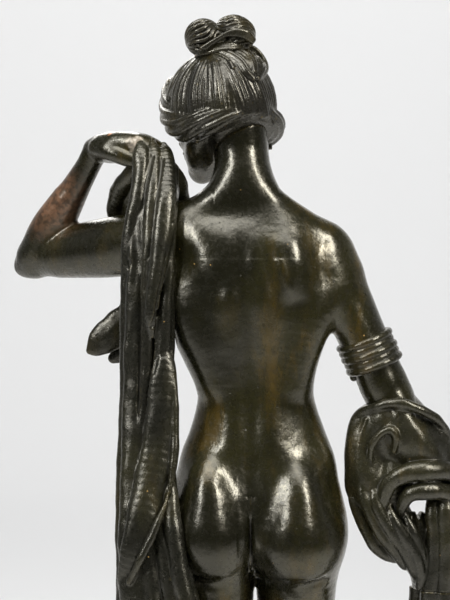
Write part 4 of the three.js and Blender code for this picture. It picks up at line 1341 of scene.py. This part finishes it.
# ------------------------------------------------------------------ stage, camera
def studio():
    """A round studio, pale except for painted shade on the paper behind the camera, with soft lamps, and the
    camera behind the figure.
    """
    scene = bpy.context.scene
    floor_mat = bpy.data.materials.new("studio_paper")
    floor_mat.use_nodes = True
    shader = floor_mat.node_tree.nodes["Principled BSDF"]
    # painted shade: the paper's colour fades from pale to dark grey on the side behind the camera, standing
    # in for an unlit room there, so that the bronze doesn't reflect a pale floor
    links, nodes = floor_mat.node_tree.links, floor_mat.node_tree.nodes
    place, split = nodes.new("ShaderNodeTexCoord"), nodes.new("ShaderNodeSeparateXYZ")
    shade, painted_shade_tone = nodes.new("ShaderNodeMapRange"), nodes.new("ShaderNodeCombineColor")
    shade.interpolation_type = "SMOOTHSTEP"
    for socket, value in zip(shade.inputs[1:5], (0.25, 1.1, 0.8, 0.2)):
        socket.default_value = value
    links.new(place.outputs["Object"], split.inputs[0])
    links.new(split.outputs["Y"], shade.inputs[0])
    for socket in painted_shade_tone.inputs[:3]:
        links.new(shade.outputs[0], socket)
    # the painted shade of the paper becomes its base colour
    links.new(painted_shade_tone.outputs[0], shader.inputs["Base Color"])
    shader.inputs["Roughness"].default_value = 0.9
    shader.inputs["Specular IOR Level"].default_value = 0.1
    # a round floor that curves up into a wall on every side, so that there's no horizon in any view
    flat, curve, height, around = 3.1, 1.6, 4.2, 96
    profile = [(0.5, 0.0), (flat, 0.0)]
    for i in range(1, 25):
        a = i / 24 * math.pi / 2
        profile.append((flat + curve * math.sin(a), curve - curve * math.cos(a)))
    profile.append((flat + curve, height))
    turn = [(math.cos(a), math.sin(a)) for a in np.linspace(0, 2 * math.pi, around, endpoint=False)]
    verts = [(reach * c, reach * d, z) for reach, z in profile for c, d in turn]
    faces = [tuple(range(around))]
    for row in range(len(profile) - 1):
        for i in range(around):
            j = (i + 1) % around
            faces.append(
                (row * around + i, (row + 1) * around + i, (row + 1) * around + j, row * around + j)
            )
    mesh = bpy.data.meshes.new("backdrop")
    mesh.from_pydata(verts, [], faces)
    for poly in mesh.polygons:
        poly.use_smooth = True
    backdrop = bpy.data.objects.new("backdrop", mesh)
    scene.collection.objects.link(backdrop)
    mesh.materials.append(floor_mat)

    world = bpy.data.worlds.new("studio")
    scene.world = world
    world.use_nodes = True
    world.node_tree.nodes["Background"].inputs["Color"].default_value = (0.92, 0.96, 1.0, 1)
    world.node_tree.nodes["Background"].inputs["Strength"].default_value = 0.09

    def lamp(name, where, target, size, power, color=(1, 1, 1)):
        light = bpy.data.lights.new(name, "AREA")
        light.shape = "RECTANGLE"
        light.size, light.size_y = size
        light.energy = power
        light.color = color
        obj = bpy.data.objects.new(name, light)
        obj.location = where
        obj.rotation_euler = (Vector(target) - Vector(where)).to_track_quat("-Z", "Y").to_euler()
        scene.collection.objects.link(obj)

    aim = (0, 0, 0.46)
    lamp("window_right", (-0.85, 0.95, 1.35), aim, (0.22, 0.9), 21, (1.0, 0.98, 0.94))
    lamp("window_left", (0.9, 0.85, 1.25), aim, (0.2, 0.9), 14, (0.97, 0.98, 1.0))
    lamp("above", (0.1, 0.55, 1.9), aim, (1.2, 0.6), 15)
    lamp("front_fill", (0.4, -1.4, 1.7), aim, (0.7, 0.7), 9)
    lamp("near_wall", (0, 2.3, 3.8), (0, 4.7, 2.0), (3.0, 0.6), 14)
    lamp("wall_wash", (0, -2.4, 3.6), (0, -4.7, 1.5), (3.6, 0.8), 100)

    cam = bpy.data.cameras.new("camera")
    cam.sensor_fit = "VERTICAL"
    cam.sensor_height = 36
    cam.lens = 90
    cam.clip_start, cam.clip_end = 0.05, 20
    obj = bpy.data.objects.new("camera", cam)
    obj.location = (0.020, 0.900, 0.507)
    obj.rotation_euler = (math.pi / 2, 0, math.pi)
    scene.collection.objects.link(obj)
    scene.camera = obj
    scene.view_settings.view_transform = "Standard"


# ------------------------------------------------------------------ finishes
class Finish:
    """A material built from procedural nodes, in metres of the object's own space."""

    def __init__(self, name):
        self.material = bpy.data.materials.new(name)
        self.material.use_nodes = True
        self.tree = self.material.node_tree
        self.shader = self.tree.nodes["Principled BSDF"]
        self.place = self.add("ShaderNodeTexCoord").outputs["Object"]

    def add(self, kind, **settings):
        made = self.tree.nodes.new(kind)
        for key, value in settings.items():
            setattr(made, key, value)
        return made

    def put(self, socket, value):
        if isinstance(value, bpy.types.NodeSocket):
            self.tree.links.new(value, socket)
        elif isinstance(value, (tuple, list)) and socket.type == "RGBA":
            socket.default_value = (*value[:3], 1)
        else:
            socket.default_value = value

    def noise(self, size, detail=3.0, stretch=(1, 1, 1), offset=0.0, roughness=0.55):
        """Noise whose blobs are about size millimetres, stretched along each axis."""
        mapping = self.add("ShaderNodeMapping")
        self.put(mapping.inputs["Vector"], self.place)
        mapping.inputs["Scale"].default_value = [1 / s for s in stretch]
        mapping.inputs["Location"].default_value = (offset, offset * 0.7, -offset)
        made = self.add("ShaderNodeTexNoise")
        self.put(made.inputs["Vector"], mapping.outputs[0])
        made.inputs["Scale"].default_value = 1000 / size
        made.inputs["Detail"].default_value = detail
        made.inputs["Roughness"].default_value = roughness
        return made.outputs["Fac"]

    def ramp(self, value, low, high, start=0.0, end=1.0):
        """value from low..high stretched to start..end, with soft ends."""
        made = self.add("ShaderNodeMapRange", interpolation_type="SMOOTHSTEP")
        for socket, v in zip(made.inputs[:5], (value, low, high, start, end)):
            self.put(socket, v)
        return made.outputs[0]

    def math(self, operation, a, b=0.5):
        made = self.add("ShaderNodeMath", operation=operation)
        self.put(made.inputs[0], a)
        self.put(made.inputs[1], b)
        return made.outputs[0]

    def mix(self, share, a, b):
        """Colour b laid over colour a by a share."""
        made = self.add("ShaderNodeMix", data_type="RGBA")
        self.put(made.inputs[0], share)
        self.put(made.inputs[6], a)
        self.put(made.inputs[7], b)
        return made.outputs[2]

    def specks(self, size, share, radius, offset=0.0):
        """Sparse round dots: cells of size mm, a share of them filled, radius as part of a cell."""
        mapping = self.add("ShaderNodeMapping")
        self.put(mapping.inputs["Vector"], self.place)
        mapping.inputs["Location"].default_value = (offset, offset, offset)
        cells = self.add("ShaderNodeTexVoronoi")
        self.put(cells.inputs["Vector"], mapping.outputs[0])
        cells.inputs["Scale"].default_value = 1000 / size
        chance = self.add("ShaderNodeSeparateColor")
        self.put(chance.inputs[0], cells.outputs["Color"])
        dot = self.ramp(cells.outputs["Distance"], radius, radius * 0.5, 0, 1)
        return self.math("MULTIPLY", dot, self.math("LESS_THAN", chance.outputs[0], share))

    def near(self, centre, inner, outer, ragged=6.0):
        """1 within inner millimetres of a point, 0 beyond outer, with a ragged edge."""
        gap = self.add("ShaderNodeVectorMath", operation="DISTANCE")
        self.put(gap.inputs[0], self.place)
        gap.inputs[1].default_value = [v * MM for v in centre]
        wobble = self.math("MULTIPLY", self.noise(7, 4, offset=centre[0] * MM), ragged * MM * 2)
        reach = self.math("ADD", gap.outputs["Value"], self.math("SUBTRACT", wobble, ragged * MM))
        return self.ramp(reach, outer * MM, inner * MM)

    def bump(self, height, depth, under=None):
        """Relief of depth millimetres."""
        made = self.add("ShaderNodeBump")
        made.inputs["Distance"].default_value = depth * MM
        self.put(made.inputs["Height"], height)
        if under is not None:
            self.put(made.inputs["Normal"], under)
        return made.outputs[0]

    def blend(self, base, spot, value):
        """A number pulled towards another value where a mark lies."""
        kept = self.math("MULTIPLY", base, self.math("SUBTRACT", 1.0, spot))
        return self.math("ADD", kept, self.math("MULTIPLY", spot, value))

    def set(self, **values):
        for key, value in values.items():
            self.put(self.shader.inputs[key.replace("_", " ")], value)


def bronze_finish(name, dark, olive, gold, rough=0.3, grain=0.10, wear=0.5, marks=()):
    """Waxed brown-black patina over cast bronze; marks are [centre, inner, outer, colour, roughness]."""
    f = Finish(name)
    cloud = f.noise(46, 5, stretch=(1, 1, 1.7), offset=0.2)
    wash = f.noise(13, 6, stretch=(1, 1, 5), offset=1.3, roughness=0.65)
    fine = f.noise(2.6, 5, offset=2.1, roughness=0.7)
    cast = f.noise(0.9, 3, offset=3.3)
    colour = f.mix(f.ramp(cloud, 0.38, 0.62), dark, olive)
    colour = f.mix(f.math("MULTIPLY", f.ramp(wash, 0.47, 0.68), f.ramp(cloud, 0.42, 0.66)), colour, gold)
    colour = f.mix(f.ramp(fine, 0.42, 0.66, 0, 0.45), colour, tuple(c * 0.35 for c in dark))
    # hollows keep the black patina, ridges are rubbed to a warmer metal
    edge = f.add("ShaderNodeNewGeometry").outputs["Pointiness"]
    hollow = f.ramp(edge, 0.492, 0.44)
    ridge = f.math("MULTIPLY", f.ramp(edge, 0.512, 0.56), f.ramp(fine, 0.36, 0.62))
    colour = f.mix(f.math("MULTIPLY", hollow, 0.8), colour, (0.006, 0.006, 0.005))
    rubbed = tuple(g + o for g, o in zip(gold, olive))
    colour = f.mix(f.math("MULTIPLY", ridge, wear), colour, rubbed)
    roughness = f.ramp(fine, 0.3, 0.7, rough - 0.06, rough + 0.1)
    roughness = f.math("ADD", roughness, f.math("MULTIPLY", hollow, 0.2))
    pits = f.specks(5.5, 0.22, 0.11)
    holes = f.specks(13, 0.16, 0.075, offset=0.37)
    colour = f.mix(f.math("MAXIMUM", pits, holes), colour, (0.004, 0.004, 0.004))
    sparks = f.specks(9, 0.1, 0.06, offset=0.71)
    colour = f.mix(sparks, colour, (0.55, 0.34, 0.12))
    metallic = f.math("ADD", f.math("MULTIPLY", ridge, 0.35), 0.22)
    for centre, inner, outer, tint, mark_rough in marks:
        spot = f.near(centre, inner, outer)
        mottled = f.mix(f.ramp(f.noise(3.2, 5, offset=4), 0.4, 0.62), tint, tuple(c * 0.35 for c in tint))
        colour = f.mix(spot, colour, mottled)
        roughness = f.blend(roughness, spot, mark_rough)
    relief = f.bump(f.noise(9, 3, offset=5), 0.35)
    relief = f.bump(fine, grain * 1.4, relief)
    relief = f.bump(cast, grain, relief)
    relief = f.bump(f.math("SUBTRACT", 1.0, f.math("MAXIMUM", pits, holes)), 0.35, relief)
    f.set(Base_Color=colour, Metallic=metallic, Roughness=roughness, Normal=relief)
    f.set(
        Specular_Tint=(1.0, 0.93, 0.74), Specular_IOR_Level=0.66, Coat_Weight=0.35, Coat_Roughness=0.18,
        Coat_Normal=relief,
    )
    return f.material


def marble_finish():
    """Dark green marble with pale veins, polished."""
    f = Finish("green_marble")
    cloud = f.noise(40, 6, offset=0.4, roughness=0.6)
    vein = f.add("ShaderNodeTexNoise")
    f.put(vein.inputs["Vector"], f.place)
    vein.inputs["Scale"].default_value = 22
    vein.inputs["Detail"].default_value = 8
    vein.inputs["Distortion"].default_value = 1.4
    line = f.ramp(f.math("ABSOLUTE", f.math("SUBTRACT", vein.outputs["Fac"], 0.5)), 0.014, 0.002)
    thin = f.ramp(f.math("ABSOLUTE", f.math("SUBTRACT", f.noise(18, 8, offset=2.2), 0.46)), 0.008, 0.001)
    colour = f.mix(f.ramp(cloud, 0.35, 0.65), (0.008, 0.014, 0.011), (0.03, 0.052, 0.038))
    colour = f.mix(f.math("MULTIPLY", line, 0.8), colour, (0.45, 0.5, 0.44))
    colour = f.mix(f.math("MULTIPLY", thin, 0.5), colour, (0.28, 0.34, 0.28))
    f.set(Base_Color=colour, Roughness=f.ramp(f.noise(6, 4), 0.3, 0.7, 0.09, 0.2))
    f.set(Normal=f.bump(f.noise(12, 3), 0.05), Specular_IOR_Level=0.55, Coat_Weight=0.3, Coat_Roughness=0.06)
    return f.material


def baize_finish():
    """Green woollen baize."""
    f = Finish("green_baize")
    fibre = f.noise(0.8, 5, stretch=(1, 2.5, 1))
    nap = f.noise(7, 4, offset=1)
    pile = f.ramp(f.math("ADD", fibre, f.math("MULTIPLY", nap, 0.4)), 0.5, 0.9)
    f.set(Base_Color=f.mix(pile, (0.008, 0.04, 0.018), (0.03, 0.11, 0.05)))
    f.set(
        Roughness=0.97, Normal=f.bump(fibre, 0.3), Specular_IOR_Level=0.15, Sheen_Weight=0.35,
        Sheen_Roughness=0.5,
    )
    return f.material


def hardware_finish(name, bright, dull, rough):
    """Turned metal with brush marks and dull stains."""
    f = Finish(name)
    brushed = f.noise(0.7, 4, stretch=(1, 1, 7))
    stain = f.noise(5, 5, offset=2)
    f.set(
        Base_Color=f.mix(f.ramp(stain, 0.42, 0.66), bright, dull),
        Metallic=f.ramp(stain, 0.45, 0.75, 1.0, 0.7),
    )
    f.set(Roughness=f.ramp(brushed, 0.3, 0.7, rough, rough + 0.2), Normal=f.bump(brushed, 0.04))
    return f.material


def dress_node(name, material):
    """A finish for a CAD node that is shown as it is."""
    for obj in bpy.data.objects:
        if obj.type == "MESH" and obj.name.split(".")[0] == name:
            obj.data.materials.clear()
            obj.data.materials.append(material)


# ------------------------------------------------------------------ the statuette
DARK, OLIVE, GOLD = (0.008, 0.0077, 0.0032), (0.022, 0.02, 0.006), (0.07, 0.046, 0.009)
skin = bronze_finish("bronze_skin", DARK, OLIVE, GOLD, rough=0.23, grain=0.04)
arm_skin = bronze_finish(
    "bronze_worn_arm",
    DARK,
    OLIVE,
    GOLD,
    rough=0.26,
    grain=0.06,
    marks=[
        ((129, -42, 573), 10, 34, (0.17, 0.085, 0.045), 0.4),
        ((110, -32, 593), 1, 5, (0.5, 0.12, 0.04), 0.5),
        ((74, -2, 601), 2, 6, (0.62, 0.53, 0.42), 0.6),
        ((88, -10, 607), 0.5, 2.4, (0.5, 0.17, 0.05), 0.5),
        ((141, -52, 534), 0.5, 2.6, (0.5, 0.36, 0.14), 0.4),
    ],
)
band = bronze_finish(
    "bronze_band", DARK, (0.027, 0.024, 0.009), (0.055, 0.036, 0.01), rough=0.28, grain=0.08, wear=0.25,
)
hair = bronze_finish(
    "bronze_hair", (0.013, 0.012, 0.009), (0.032, 0.029, 0.014), (0.085, 0.058, 0.016), rough=0.26,
    grain=0.07, wear=0.7,
)
cloth = bronze_finish(
    "bronze_cloth", (0.009, 0.009, 0.006), (0.025, 0.0235, 0.011), (0.06, 0.045, 0.016), rough=0.27,
    grain=0.11, wear=0.65,
)
earth = bronze_finish(
    "bronze_earth", (0.011, 0.011, 0.008), (0.028, 0.024, 0.012), (0.06, 0.042, 0.016), rough=0.36,
    grain=0.25, wear=0.6,
)

settle(sculpt_body().cast("body"), skin, "bronze_skin", "body_casting")
settle(sculpt_left_arm().cast("left_arm"), arm_skin, "bronze_skin", "left_arm_casting")
settle(sculpt_right_arm().cast("right_forearm"), skin, "bronze_skin", "right_forearm_casting")
settle(sculpt_armlet().cast("armlet_band"), band, "bronze_skin", "armlet")
settle(sculpt_head().cast("head", head_place()), hair, "bronze_hair", "head_casting")
settle(sculpt_knot().cast("knot"), hair, "bronze_hair", "topknot_casting")
settle(
    sculpt_left_cloth().cast("left_cloth"), cloth, "bronze_cloth", "left_drapery_upper",
    "left_drapery_lower",
)
settle(sculpt_front_cloth().cast("front_cloth"), cloth, "bronze_cloth", "front_drapery")
settle(sculpt_right_cloth().cast("right_cloth"), cloth, "bronze_cloth", "right_drapery_sleeve")
settle(sculpt_right_fall().cast("right_fall"), cloth, "bronze_cloth", "right_drapery_fall")
settle(sculpt_ground().cast("ground"), earth, "bronze_ground", "ground_casting")
settle(sculpt_plinth().cast("plinth"), marble_finish(), "marble", "marble_plinth")

brass = hardware_finish("brass", (0.62, 0.42, 0.16), (0.2, 0.12, 0.05), 0.22)
steel = hardware_finish("steel", (0.5, 0.5, 0.5), (0.2, 0.19, 0.18), 0.26)
for joint in ("neck", "left_arm", "right_arm"):
    dress_node(f"{joint}_pin", brass)
for side in ("left", "right"):
    for held in ("foot", "drapery"):
        dress_node(f"{held}_screw_{side}", brass)
    for piece in ("stud", "washer", "nut"):
        dress_node(f"plinth_{piece}_{side}", steel)
dress_node("baize_pad", baize_finish())
studio()
